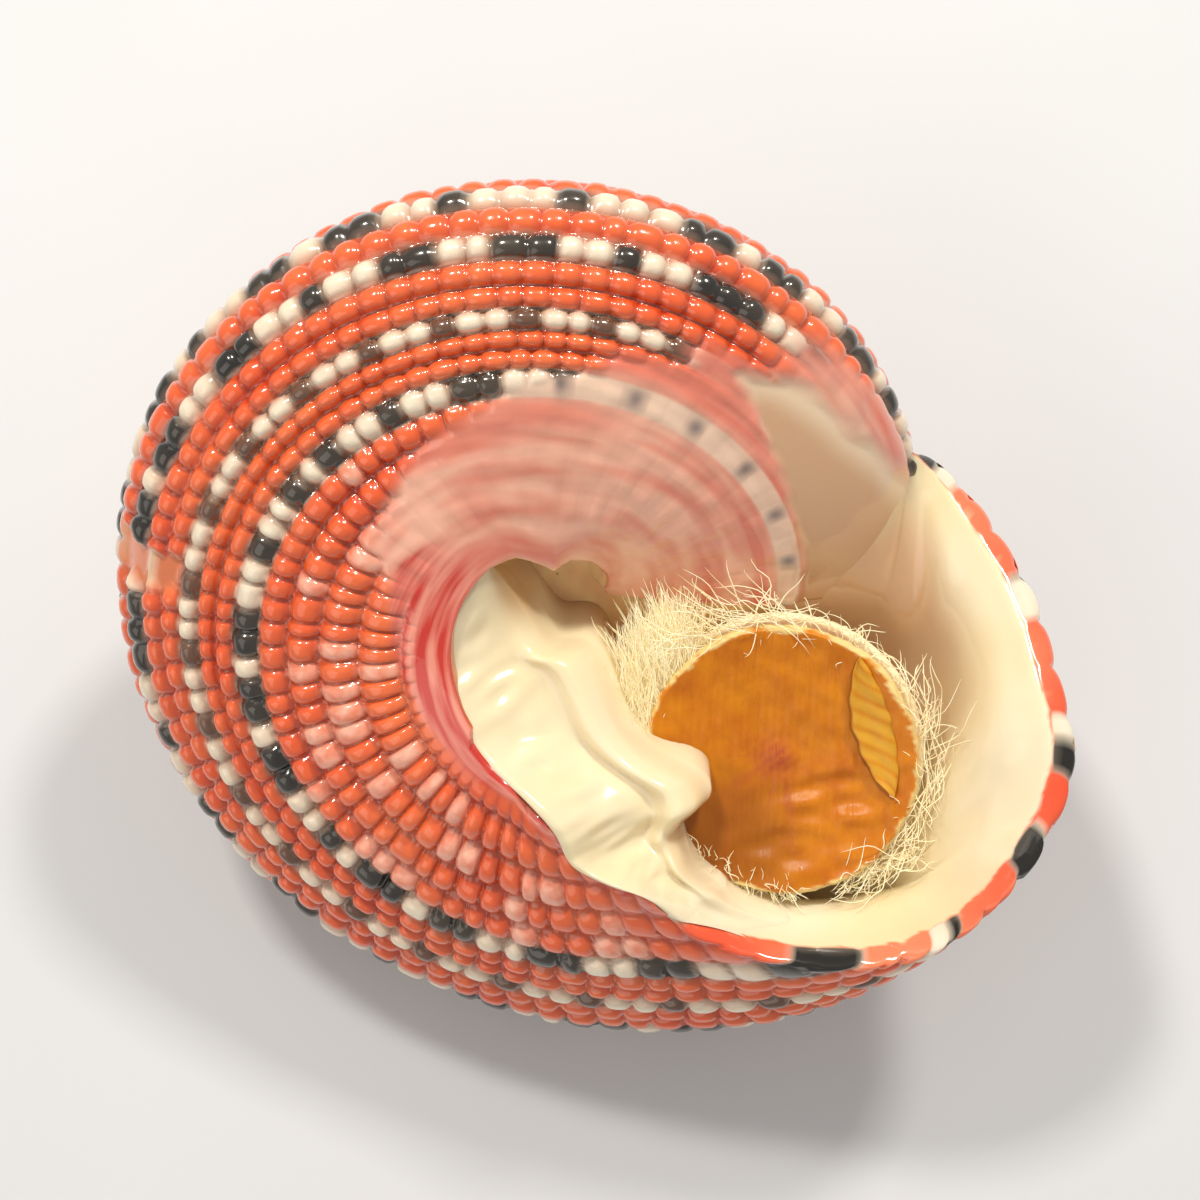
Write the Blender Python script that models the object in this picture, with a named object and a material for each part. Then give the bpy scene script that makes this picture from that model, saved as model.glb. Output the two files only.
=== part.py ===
"""Strawberry top shell, lying on its spire with the mouth turned up, its horny
lid in the mouth and cotton wool packed round the lid.

The shell is worked out in its own frame first: the coiling axis is Z, the tip of
the spire is the origin, and the base with the mouth looks along +Z. Everything on
it follows one growth law: a point at radius r and height z comes again one turn
later at GROWTH times both. A parent empty then lays the whole thing down.
"""
import math

import bmesh
import bpy
import numpy as np
from mathutils import Matrix, Vector

# Growth of the whorls
UNIT = 0.0075              # radius of the widest cord at spiral angle 0, metres
GROWTH = 1.547             # size gained in one turn
TURN = 2 * math.pi
MOUTH = math.radians(380)  # spiral angle where the outer lip meets the whorl before it

# The whorl in section: cord number, radius and height, in UNIT at spiral angle 0.
# Cords 1 to 5 face the spire, 6 is the rim, 7 to 19 are on the base.
SECTION = [(0.5, 0.672, 0.766), (2, 0.772, 0.820), (4, 0.897, 0.955), (6, 0.990, 1.112),
           (7, 1.000, 1.194), (9, 0.938, 1.321), (12, 0.796, 1.399), (15, 0.657, 1.441),
           (17, 0.527, 1.462), (19, 0.375, 1.470), (20.5, 0.262, 1.462), (21.5, 0.205, 1.420),
           (22.5, 0.155, 1.330), (23.5, 0.100, 1.180)]
FIRST_CORD = 0.5           # the seam of the whorl
SEAM_CORD = 7.5            # the next whorl is laid on after this cord
LAST_CORD = 19.5
PIT_CORDS = [20.5, 21.5, 22.5, 23.5]
PIT_FLOOR = 1.10           # height of the navel's floor, UNIT

# The lip: cord number and spiral angle of its edge in degrees
LIP = [(0.5, 380), (1, 374), (4, 361), (7, 351), (9, 341), (12, 328), (15, 316),
       (17, 303), (19, 297), (20.5, 282), (21.5, 270), (23.5, 262)]
LEAN_START = math.radians(190)   # growth lines begin to lean towards the lip here
# Cord number and how far the cord is pushed out at the lip, in UNIT
FLARE = [(0.5, 0.0), (4, -0.045), (6, -0.080), (7, -0.060), (9, -0.010), (12, 0.085),
         (15, 0.120), (17, 0.090), (19, 0.040), (20.5, 0.0), (23.5, 0.0)]
FLARE_START = math.radians(285)
FLARE_FULL = math.radians(325)

# Beads
BEADS = 60                 # round one turn
BEAD_HEIGHT = 0.024        # UNIT at spiral angle 0
BEADED_TURNS = 2
PLAIN_TURNS = 4            # above the beaded ones
COARSE = 2                 # beads to one column of a plain turn
PLAIN_CORDS = [0.5, 2.5, 5.5, 7.5]
# Glaze over the old beads beside the mouth: cord number, spiral angle of its edge in degrees
GLAZE_EDGE = [(7.5, 20), (9, 45), (12, 55), (15, 85), (17, 130), (19, 155), (23.5, 170)]
GLAZE_AHEAD = math.radians(20)   # beads start to rise this far inside that edge
GLAZE_FADE = math.radians(30)    # turn in which they reach their full height

# The hollow of the mouth
WALL = 0.075               # of the last whorl, UNIT at spiral angle 0
EDGE_WALL = 0.030          # at the lip
EDGE_FADE = 0.06           # turn behind the lip in which the wall thickens, radians
HOLLOW_TURN = math.radians(105)  # how far back the hollow reaches
HOLLOW_END = 0.7           # size of its last ring, as a share
HOLLOW_BACK = [-14, -1.5, 3, 9, 20, 34, 48, 62, 76, 90]   # its rings, degrees behind the mouth
UPRIGHT_STEP = math.radians(3)   # between the rings that straighten up in front of the lip
UPRIGHT_RINGS = 3
HOLLOW_CORDS = [2, 3.5, 5, 6, 7, 8, 9.5, 11, 13, 15, 17, 18.5]
# Inner side of the hollow: radius and height in UNIT, lean in degrees
INNER_SIDE = [(0.400, 1.365, -78), (0.345, 1.290, -76), (0.300, 1.180, -70), (0.300, 1.070, -58),
              (0.350, 1.005, -44), (0.450, 0.972, -32), (0.545, 0.938, -20), (0.615, 0.888, -10),
              (0.660, 0.835, -3)]

# Room over the whorl before, beside the pillar: azimuth in degrees, inner and outer radius
LIP_ROOM = [(30, 0.10, 0.98), (10, 0.12, 0.96), (-10, 0.14, 0.95), (-28, 0.17, 0.93),
            (-36, 0.30, 0.92), (-41, 0.50, 0.90), (-48, 0.70, 0.86)]
LIP_ROOM_CLEAR = 0.004     # above the whorl before, UNIT
LIP_ROOM_TOP = 2.6
LIP_ROOM_STEPS = 6         # points from its inner to its outer radius
BASE_FLAT_TO = 0.375       # radius inside which the base no longer rises

# Pillar and glaze ribbon round the navel: x, y, z and radius in UNIT
PILLAR = [(0.08, 0.02, 1.25, 0.14), (0.12, -0.10, 1.48, 0.15), (0.20, -0.22, 1.66, 0.15),
          (0.30, -0.36, 1.78, 0.15), (0.38, -0.52, 1.87, 0.14), (0.45, -0.66, 1.94, 0.11),
          (0.56, -0.79, 2.00, 0.07)]
TOOTH = [(0.34, -0.42, 1.80, 0.11), (0.42, -0.43, 1.84, 0.085), (0.475, -0.435, 1.87, 0.045)]
PILLAR_SIDES = 10
TOOTH_SIDES = 8
RIBBON_SIDES = 8
RIBBON_RINGS = 13
RIBBON_RADIUS = 0.235      # of its middle, UNIT at spiral angle 0
RIBBON_HEIGHT = 1.445
RIBBON_THICK = 0.055
RIBBON_END = 0.3           # thickness of its tips, as a share
RIBBON_FROM = math.radians(115)
RIBBON_TO = math.radians(296)
RIBBON_ENDS = math.radians(35)   # length over which each end thins away

# Horny lid
LID_CENTRE = (0.655, -0.392, 1.715)
LID_RADIUS = 0.385         # UNIT
LID_THICK = 0.00035        # metres
LID_DISH = 0.00045         # its middle lies this far behind its edge
LID_LEAN = math.radians(-25)     # of its face, about the shell's X axis
LID_SIDES = 48
LID_RINGS = [0.5, 0.8]     # radii of its inner rings, as shares
BEVEL_FROM = 0.97          # radius where its edge starts to round off, as a share
BEVEL = 0.15               # drop of the face there, as a share of half the thickness

# Cotton wool behind and round the lid, packed in the hollow
GAP = 0.0003               # left between two pieces, metres
# Collar of the wad round the lid: azimuth in degrees, radius and height, UNIT. It is left
# out, and the wad stays behind the lid, where the height is 0.
WOOL = [(0, 0.46, 0.12), (30, 0.50, 0.15), (60, 0.50, 0.15), (90, 0.46, 0.12), (110, 0.455, 0.10),
        (135, 0.45, 0.15), (143, 0.41, 0.10), (152, 0.25, 0.0), (180, 0.19, 0.0), (210, 0.19, 0.0),
        (232, 0.30, 0.0), (250, 0.40, 0.0), (264, 0.45, 0.0), (270, 0.47, 0.04), (300, 0.48, 0.08),
        (330, 0.45, 0.12), (360, 0.46, 0.12)]
WOOL_DEEP = 0.09           # thickness of the wad behind the lid, UNIT
WOOL_THIN = 0.0001         # thinnest collar, metres
WOOL_SIDES = 40
WOOL_RING = 0.9            # inner ring of the wad where it has no collar, as a share
WOOL_LOW = [(0.25, 1.0), (0.5, 0.92)]   # its underside: radius and depth, as shares
WOOL_TURN_UP = (0.8, 1.1)               # where that turns up, depth as a share of the floor's
WOOL_SEAT = 1.2            # gaps between the lid's plane and the corner inside the collar

# How the shell lies: the way down as seen in its own frame
DOWN = Vector((-0.06, -0.711, -0.702))
FLAT_SPOT = 0.00012        # depth of the flat spot it rests on, metres

BODY_COLOUR = (0.64, 0.10, 0.045, 1.0)
LID_COLOUR = (0.56, 0.25, 0.02, 1.0)
COTTON_COLOUR = (0.80, 0.74, 0.55, 1.0)


def through(keys, at):
    """A smooth curve through the keys (a natural cubic), read at the values given."""
    keys = np.asarray(keys, float)
    x, y = keys[:, 0], keys[:, 1:]
    n = len(x)
    h = np.diff(x)
    a = np.eye(n)
    b = np.zeros_like(y)
    for i in range(1, n - 1):
        a[i, i - 1:i + 2] = h[i - 1], 2 * (h[i - 1] + h[i]), h[i]
        b[i] = 6 * ((y[i + 1] - y[i]) / h[i] - (y[i] - y[i - 1]) / h[i - 1])
    m = np.linalg.solve(a, b)
    at = np.clip(np.asarray(at, float), x[0], x[-1])
    i = np.clip(np.searchsorted(x, at) - 1, 0, n - 2)
    t = (at - x[i])[..., None]
    d = h[i][..., None]
    slope = (y[i + 1] - y[i]) / d - d * (2 * m[i] + m[i + 1]) / 6
    return y[i] + slope * t + m[i] * t ** 2 / 2 + (m[i + 1] - m[i]) * t ** 3 / (6 * d)


def ease(t):
    """0 below 0, 1 above 1, and a smooth step between."""
    t = np.clip(t, 0, 1)
    return t * t * (3 - 2 * t)


def place(radius, height, angle):
    """Metres at a spiral angle, from a radius and a height given for spiral angle 0."""
    size = UNIT * GROWTH ** (np.asarray(angle) / TURN)
    return np.stack([radius * size * np.cos(angle), radius * size * np.sin(angle), height * size], -1)


def column_angle(behind, column):
    """Spiral angle on a growth line that leans back by an angle as it nears the lip."""
    return column + behind * ease((column - LEAN_START) / (MOUTH - LEAN_START))


def whorl_point(cord, column, inset=0.0):
    """A point of the whorl's face, or inset below it: cord number along the section,
    growth line along the coil. The normal of the section turns its tangent outwards."""
    cord = np.asarray(cord, float)
    behind = np.radians(through(LIP, cord)[..., 0]) - MOUTH
    angle = column_angle(behind, column)
    step = 0.05
    along = through(SECTION, cord + step) - through(SECTION, cord - step)
    along = along / np.linalg.norm(along, axis=-1, keepdims=True)
    push = through(FLARE, cord)[..., 0] * ease((angle - FLARE_START) / (FLARE_FULL - FLARE_START))
    here = through(SECTION, cord)
    radius = here[..., 0] + push - along[..., 1] * inset
    height = here[..., 1] + along[..., 0] * inset
    return place(radius, height, angle)


def new_object(name, mesh, collection, place_to):
    mesh.transform(place_to)
    thing = bpy.data.objects.new(name, mesh)
    collection.objects.link(thing)
    return thing


def new_material(name, colour, roughness):
    material = bpy.data.materials.new(name)
    material.use_nodes = True
    shader = material.node_tree.nodes["Principled BSDF"]
    shader.inputs["Base Color"].default_value = colour
    shader.inputs["Roughness"].default_value = roughness
    return material


def mesh_from(name, points, faces):
    mesh = bpy.data.meshes.new(name)
    mesh.from_pydata([tuple(p) for p in points], [], faces)
    bm = bmesh.new()
    bm.from_mesh(mesh)
    bmesh.ops.recalc_face_normals(bm, faces=bm.faces)
    bmesh.ops.triangulate(bm, faces=[f for f in bm.faces if len(f.verts) > 3])
    bm.to_mesh(mesh)
    bm.free()
    return mesh


def loft(name, rings):
    """A closed body through rings of as many points each, with a point at both ends."""
    count = len(rings[0])
    points = [p for ring in rings for p in ring]
    faces = []
    for i in range(len(rings) - 1):
        for j in range(count):
            k = (j + 1) % count
            faces.append((i * count + j, i * count + k, (i + 1) * count + k, (i + 1) * count + j))
    for ring, start in ((rings[0], 0), (rings[-1], (len(rings) - 1) * count)):
        points.append(np.mean(ring, axis=0))
        for j in range(count):
            faces.append((start + j, start + (j + 1) % count, len(points) - 1))
    return mesh_from(name, points, faces)


def tube(name, spine, sides):
    """A round body along a spine of x, y, z and radius."""
    spine = np.asarray(spine, float)
    rings = []
    reference = np.array([0.3, 0.9, 0.3])
    for i, (x, y, z, radius) in enumerate(spine):
        ahead = spine[min(i + 1, len(spine) - 1), :3] - spine[max(i - 1, 0), :3]
        ahead /= np.linalg.norm(ahead)
        u = np.cross(ahead, reference)
        u /= np.linalg.norm(u)
        v = np.cross(ahead, u)
        turn = np.arange(sides) * TURN / sides
        middle = np.array([x, y, z])
        rings.append((middle + radius * (np.outer(np.cos(turn), u) + np.outer(np.sin(turn), v))) * UNIT)
    return loft(name, rings)


def whorls():
    """The coiled body, with the mouth still filled: quads between cords and growth
    lines, each bead a low pyramid on its quad."""
    turn = BEADS
    last = BEADS * (BEADED_TURNS + PLAIN_TURNS)
    fine_from = last - BEADED_TURNS * turn
    base_from = last - turn
    points, index, faces = [], {}, []

    def angle_of(column):
        return MOUTH - (last - column) * TURN / BEADS

    def vertex(column, cord):
        if cord == FIRST_CORD:
            if column >= turn:
                return vertex(column - turn, SEAM_CORD)
            column, cord = 0, FIRST_CORD
        key = (column, cord)
        if key not in index:
            index[key] = len(points)
            tip = column == 0 and cord == FIRST_CORD
            points.append(np.zeros(3) if tip else whorl_point(cord, angle_of(column)))
        return index[key]

    def bead(column, cord):
        corners = (vertex(column, cord), vertex(column + 1, cord),
                   vertex(column + 1, cord + 1), vertex(column, cord + 1))
        middle = angle_of(column + 0.5)
        edge = math.radians(float(through(GLAZE_EDGE, cord)[0]))
        bare = 1.0
        if cord >= SEAM_CORD:
            bare = float(ease((middle + GLAZE_AHEAD - edge) / GLAZE_FADE))
        points.append(whorl_point(cord + 0.5, middle, -BEAD_HEIGHT * bare))
        top = len(points) - 1
        for i in range(4):
            faces.append((corners[i], corners[(i + 1) % 4], top))

    for column in range(fine_from, last):
        for cord in np.arange(FIRST_CORD, SEAM_CORD):
            bead(column, float(cord))
    for column in range(base_from, last):
        for cord in np.arange(SEAM_CORD, LAST_CORD):
            bead(column, float(cord))
        rest = [LAST_CORD] + PIT_CORDS
        ahead = column + 1
        for a, b in zip(rest, rest[1:]):
            faces.append((vertex(column, a), vertex(ahead, a), vertex(ahead, b), vertex(column, b)))
    for column in range(0, fine_from, COARSE):
        ahead = column + COARSE
        for a, b in zip(PLAIN_CORDS, PLAIN_CORDS[1:]):
            face = [vertex(column, a), vertex(ahead, a)]
            if ahead == fine_from:
                face += [vertex(ahead, float(c)) for c in np.arange(a + 1, b)]
            face.append(vertex(ahead, b))
            if b == SEAM_CORD and column + turn >= fine_from:
                face += [vertex(c, b) for c in range(ahead - 1, column, -1)]
            face.append(vertex(column, b))
            faces.append(list(dict.fromkeys(face)))
    faces.append([vertex(0, c) for c in PLAIN_CORDS])

    # the filled mouth, the step in the navel and the navel's floor
    faces.append([vertex(last, float(c)) for c in np.arange(FIRST_CORD, SEAM_CORD + 1)])
    rows = [float(c) for c in np.arange(SEAM_CORD, LAST_CORD + 1)] + PIT_CORDS
    for a, b in zip(rows, rows[1:]):
        face = [vertex(last, a), vertex(base_from, a), vertex(base_from, b), vertex(last, b)]
        faces.append(list(dict.fromkeys(face)))
    points.append(np.array([0.0, 0.0, PIT_FLOOR * UNIT]))
    floor = len(points) - 1
    for column in range(base_from, last):
        faces.append((vertex(column, rows[-1]), vertex(column + 1, rows[-1]), floor))
    faces.append((vertex(last, rows[-1]), vertex(base_from, rows[-1]), floor))
    return mesh_from("whorls", points, faces)


def hollow_ring(column, wall, leaning=1.0):
    """Round the hollow: up inside the outer wall, and back over the whorl before."""
    outer = [whorl_point(cord, column, wall) for cord in HOLLOW_CORDS]
    inner = []
    for radius, height, behind in INNER_SIDE:
        angle = column_angle(math.radians(behind) * leaning, column)
        inner.append(place(radius, height, angle))
    return outer + inner


def shrink(ring, share):
    middle = np.mean(ring, axis=0)
    return [middle + (p - middle) * share for p in ring]


def hollow():
    """The room inside the last whorl, from in front of the lip back into the coil."""
    back_angles = np.radians(HOLLOW_BACK)
    rings = []
    for i in range(UPRIGHT_RINGS):
        ahead = MOUTH - back_angles[0] + UPRIGHT_STEP * (UPRIGHT_RINGS - i)
        rings.append(hollow_ring(ahead, EDGE_WALL, i / UPRIGHT_RINGS))
    for back in back_angles:
        wall = EDGE_WALL
        if back > 0:
            wall = WALL - (WALL - EDGE_WALL) * math.exp(-back / EDGE_FADE)
        rings.append(hollow_ring(MOUTH - back, wall))
    deep = hollow_ring(MOUTH - HOLLOW_TURN, WALL)
    rings.append(shrink(deep, HOLLOW_END))
    return loft("hollow", rings)


def old_base(radius, angle):
    """Height of the whorl before at a radius and an azimuth, in UNIT."""
    size = GROWTH ** (angle / TURN)
    section = np.asarray([(r, z) for cord, r, z in SECTION if cord >= SEAM_CORD - 1])
    section = section[section[:, 0] >= BASE_FLAT_TO][::-1]
    return np.interp(radius / size, section[:, 0], section[:, 1]) * size


def lip_room():
    """The room over the whorl before, a wedge between its base and LIP_ROOM_TOP."""
    rings = []
    for azimuth, inner, outer in LIP_ROOM:
        angle = math.radians(azimuth)
        radii = np.linspace(inner, outer, LIP_ROOM_STEPS)
        heights = old_base(radii, angle) + LIP_ROOM_CLEAR
        radii = np.append(radii, [outer, inner])
        heights = np.append(heights, [LIP_ROOM_TOP, LIP_ROOM_TOP])
        ring = np.stack([radii * math.cos(angle), radii * math.sin(angle), heights], -1) * UNIT
        rings.append(list(ring))
    return loft("lip_room", rings)


def ribbon_spine():
    """Spine of the glaze ribbon: x, y, z and radius, thinner at both ends."""
    angles = np.linspace(RIBBON_FROM, RIBBON_TO, RIBBON_RINGS)
    middle = place(RIBBON_RADIUS, RIBBON_HEIGHT, angles) / UNIT
    full = ease((angles - RIBBON_FROM) / RIBBON_ENDS) * ease((RIBBON_TO - angles) / RIBBON_ENDS)
    thick = RIBBON_THICK * GROWTH ** (angles / TURN) * (RIBBON_END + (1 - RIBBON_END) * full)
    return np.column_stack([middle, thick])


def on_lid(mesh):
    """Moves a mesh from the lid's own frame, its face towards +Z, to its place."""
    mesh.transform(Matrix.Translation(Vector(LID_CENTRE) * UNIT) @ Matrix.Rotation(LID_LEAN, 4, 'X'))
    return mesh


def disc(name, radius, behind, ahead, dish):
    """A dished disc round the lid's axis with a rounded edge, in metres."""
    turn = np.arange(LID_SIDES) * TURN / LID_SIDES
    rings = []
    middle = (behind + ahead) / 2
    bevel = BEVEL * (ahead - behind) / 2
    front = [(share, ahead) for share in LID_RINGS] + [(BEVEL_FROM, ahead - bevel)]
    rear = [(BEVEL_FROM, behind + bevel)] + [(share, behind) for share in LID_RINGS[::-1]]
    for share, height in front + [(1.0, middle)] + rear:
        across = radius * share
        depth = np.full(LID_SIDES, height - dish * (1 - share ** 2))
        rings.append(np.stack([across * np.cos(turn), across * np.sin(turn), depth], -1))
    return on_lid(loft(name, rings))


def wool():
    """A cup round and behind the lid, clear of the lid and of the walls by GAP."""
    turn = np.arange(WOOL_SIDES) * TURN / WOOL_SIDES
    azimuth, radius, height = np.asarray(WOOL).T
    outer = np.interp(np.degrees(turn), azimuth, radius) * UNIT
    top = np.interp(np.degrees(turn), azimuth, height) * UNIT
    seat = LID_RADIUS * UNIT + GAP
    floor = -LID_DISH - GAP
    collar = (outer > seat + WOOL_THIN) & (top > 0)
    inner = np.where(collar, seat, outer * WOOL_RING)
    top = np.where(collar, top, floor)
    corner = np.where(collar, -WOOL_SEAT * GAP, floor)
    low = floor - WOOL_DEEP * UNIT
    turn_up, turn_depth = WOOL_TURN_UP
    profile = [(outer * share, low * depth) for share, depth in WOOL_LOW]
    profile += [(outer * turn_up, floor * turn_depth), (outer, (top + floor) / 2), (outer * 0.99, top)]
    profile += [(inner, top), (inner * 0.97, corner), (inner * 0.6, floor)]
    rings = []
    for across, height in profile:
        height = np.zeros(WOOL_SIDES) + height
        rings.append(np.stack([across * np.cos(turn), across * np.sin(turn), height], -1))
    return on_lid(loft("cotton_wad", rings))


def laid_down(mesh):
    """The transform that turns DOWN to -Z and puts the middle of the box on the floor."""
    turned = DOWN.rotation_difference(Vector((0, 0, -1))).to_matrix().to_4x4()
    points = np.array([turned @ v.co for v in mesh.vertices])
    low, high = points.min(axis=0), points.max(axis=0)
    shift = Vector((-(low[0] + high[0]) / 2, -(low[1] + high[1]) / 2, -low[2] - FLAT_SPOT))
    return Matrix.Translation(shift) @ turned


def main():
    for thing in list(bpy.data.objects):
        bpy.data.objects.remove(thing, do_unlink=True)
    parts = bpy.data.collections.new("strawberry_top_shell")
    cutters = bpy.data.collections.new("cutters")
    bpy.context.scene.collection.children.link(parts)
    bpy.context.scene.collection.children.link(cutters)

    body = whorls()
    laid = laid_down(body)
    shell = new_object("shell", body, parts, laid)
    lid = new_object("operculum", disc("operculum", LID_RADIUS * UNIT, 0.0, LID_THICK, LID_DISH),
                     parts, laid)
    cotton = new_object("cotton_wad", wool(), parts, laid)
    shell.data.materials.append(new_material("shell_wall", BODY_COLOUR, 0.25))
    lid.data.materials.append(new_material("horn", LID_COLOUR, 0.35))
    cotton.data.materials.append(new_material("cotton", COTTON_COLOUR, 0.95))

    def use(piece, mesh, operation, place_to=laid):
        tool = new_object(mesh.name, mesh, cutters, place_to)
        tool.hide_render = True
        tool.display_type = 'WIRE'
        change = piece.modifiers.new(mesh.name, 'BOOLEAN')
        change.operation = operation
        change.solver = 'EXACT'
        change.use_self = True
        change.object = tool

    use(shell, hollow(), 'DIFFERENCE')
    use(shell, lip_room(), 'DIFFERENCE')
    use(shell, tube("pillar", PILLAR, PILLAR_SIDES), 'UNION')
    use(shell, tube("tooth", TOOTH, TOOTH_SIDES), 'UNION')
    use(shell, tube("ribbon", ribbon_spine(), RIBBON_SIDES), 'UNION')

    # all that is below the floor is cut away, which leaves the flat spot
    size = max(shell.dimensions)
    corners = ((-size, -size), (size, -size), (size, size), (-size, size))
    low, high = ([Vector((x, y, z)) for x, y in corners] for z in (-size, 0))
    use(shell, loft("under_floor", [low, high]), 'DIFFERENCE', Matrix())

    # the pillar is cut back where the lid stands, so that the lid keeps its gap
    seat = LID_RADIUS * UNIT + GAP
    use(shell, disc("lid_slot", seat, -LID_DISH - GAP, LID_THICK + GAP, 0.0), 'DIFFERENCE')


main()
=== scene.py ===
# %% [markdown]
# # A strawberry top shell
#
# This lesson dresses a small coiled sea shell. It lies on its spire with its mouth up. A round
# horny lid stands in the mouth, with cotton wool packed behind it. The plain solids of the CAD
# model are the fixed frame, and every surface below is worked out in their place.

# %% Load the frame
import math

import bpy
import numpy as np
from mathutils import Matrix, Vector


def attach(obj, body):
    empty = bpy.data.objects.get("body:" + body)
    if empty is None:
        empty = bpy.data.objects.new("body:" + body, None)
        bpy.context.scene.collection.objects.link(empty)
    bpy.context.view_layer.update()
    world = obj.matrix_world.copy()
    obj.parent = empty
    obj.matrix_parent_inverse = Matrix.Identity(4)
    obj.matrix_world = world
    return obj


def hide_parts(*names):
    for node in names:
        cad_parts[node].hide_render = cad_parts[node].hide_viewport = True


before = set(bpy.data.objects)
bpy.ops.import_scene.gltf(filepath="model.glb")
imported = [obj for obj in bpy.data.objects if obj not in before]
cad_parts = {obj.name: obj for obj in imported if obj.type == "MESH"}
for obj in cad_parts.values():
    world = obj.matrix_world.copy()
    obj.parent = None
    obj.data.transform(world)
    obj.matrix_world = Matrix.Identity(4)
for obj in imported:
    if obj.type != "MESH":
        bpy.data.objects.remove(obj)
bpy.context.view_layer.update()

# %% [markdown]
# A snail builds its shell by one rule: while the mouth goes once round, everything gets larger by
# the same factor. Such a coil could be sculpted turn by turn, but a formula makes all the turns
# match. A point is given by a radius and a height in units, which hold at spiral angle 0, and by
# the spiral angle it stands at. The coiling axis is Z, the tip of the spire is the origin and the
# base looks along +Z. At the end each point is laid down on the table.

# %% Growth and rest
MM = 0.001
UNIT = 7.5 * MM                 # radius of the widest cord at spiral angle 0
GROWTH = 1.547                  # size gained in one turn
TURN = 2 * math.pi
MOUTH = math.radians(380)       # spiral angle where the outer lip meets the whorl before it
DOWN = Vector((-0.06, -0.711, -0.702))
SPIRE_TIP = np.array([0.1036, 8.5081, -0.1024]) * MM
LAY = np.array(DOWN.rotation_difference(Vector((0, 0, -1))).to_matrix())


def to_row(points):
    """Shell units to metres on the table: turn by LAY, then move the tip to its place. What
    would sink below the table is worn flat."""
    laid = np.asarray(points) * UNIT @ LAY.T + SPIRE_TIP
    laid[..., 2] = np.maximum(laid[..., 2], 0.0)
    return laid


def size(angle):
    """How large the shell is at a spiral angle: GROWTH to the power of the turns made."""
    return GROWTH ** (np.asarray(angle) / TURN)


def place(radius, height, angle):
    """Radius and height times the size, turned to the angle."""
    g = size(angle)
    return np.stack([radius * g * np.cos(angle), radius * g * np.sin(angle), height * g], -1)


print("the shell is", GROWTH, "times larger after each turn")

# %% [markdown]
# Drawn shapes are lists of a few keys here. Straight lines would leave corners in them,
# so a cubic curve runs through the keys. Small unevenness comes from sums of sines, which repeat
# exactly on each run.

# %% Curves and unevenness


def smooth(t):
    """0 below 0, 1 above 1, and 3 t squared minus 2 t cubed between."""
    t = np.clip(t, 0, 1)
    return t * t * (3 - 2 * t)


def hill(t):
    """A bell of height 1 at 0: e to the power of minus t squared."""
    return np.exp(-t ** 2)


def between(keys, at):
    """Straight lines between keys of two numbers, read at the values given."""
    return np.interp(at, *np.array(keys).T)


def through(keys, at):
    """A natural cubic curve through the keys, read at the values given."""
    keys = np.asarray(keys, float)
    x, y = keys[:, 0], keys[:, 1:]
    n = len(x)
    h = np.diff(x)
    a = np.eye(n)
    b = np.zeros_like(y)
    for i in range(1, n - 1):
        a[i, i - 1:i + 2] = h[i - 1], 2 * (h[i - 1] + h[i]), h[i]
        b[i] = 6 * ((y[i + 1] - y[i]) / h[i] - (y[i] - y[i - 1]) / h[i - 1])
    m = np.linalg.solve(a, b)
    at = np.clip(np.asarray(at, float), x[0], x[-1])
    i = np.clip(np.searchsorted(x, at) - 1, 0, n - 2)
    t = (at - x[i])[..., None]
    d = h[i][..., None]
    slope = (y[i + 1] - y[i]) / d - d * (2 * m[i] + m[i + 1]) / 6
    return y[i] + slope * t + m[i] * t ** 2 / 2 + (m[i + 1] - m[i]) * t ** 3 / (6 * d)


def waves(x, y, seed, count=7):
    """Smooth noise, mostly between -1 and 1: a sum of sines with random directions."""
    rng = np.random.default_rng(seed)
    total = 0
    for k in range(count):
        fx, fy = rng.normal(size=2) * (1 + 0.5 * k)
        total = total + np.sin(fx * x + fy * y + rng.uniform(0, TURN)) / (1 + 0.4 * k)
    return total / 2.2


print("waves run from", *np.round(np.sort(waves(np.linspace(0, 50, 500), 0, 1))[[0, -1]], 2))

# %% [markdown]
# One helper turns a grid of points into a mesh. Its rows and columns are the two parameters of
# the surface. Sculpted meshes would do as well, but on a grid each point knows its cord and its
# spiral angle. So masks, such as where a bead is black, go along as attributes.

# %% Grid to mesh


def add_piece(name, mesh, material):
    """Links a smooth mesh as a piece that rides on the root."""
    mesh.polygons.foreach_set("use_smooth", np.ones(len(mesh.polygons), bool))
    mesh.materials.append(material)
    piece = bpy.data.objects.new(name, mesh)
    bpy.context.scene.collection.objects.link(piece)
    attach(piece, "root")
    print(name, len(mesh.loops) - 2 * len(mesh.polygons), "triangles")
    return piece


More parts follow.
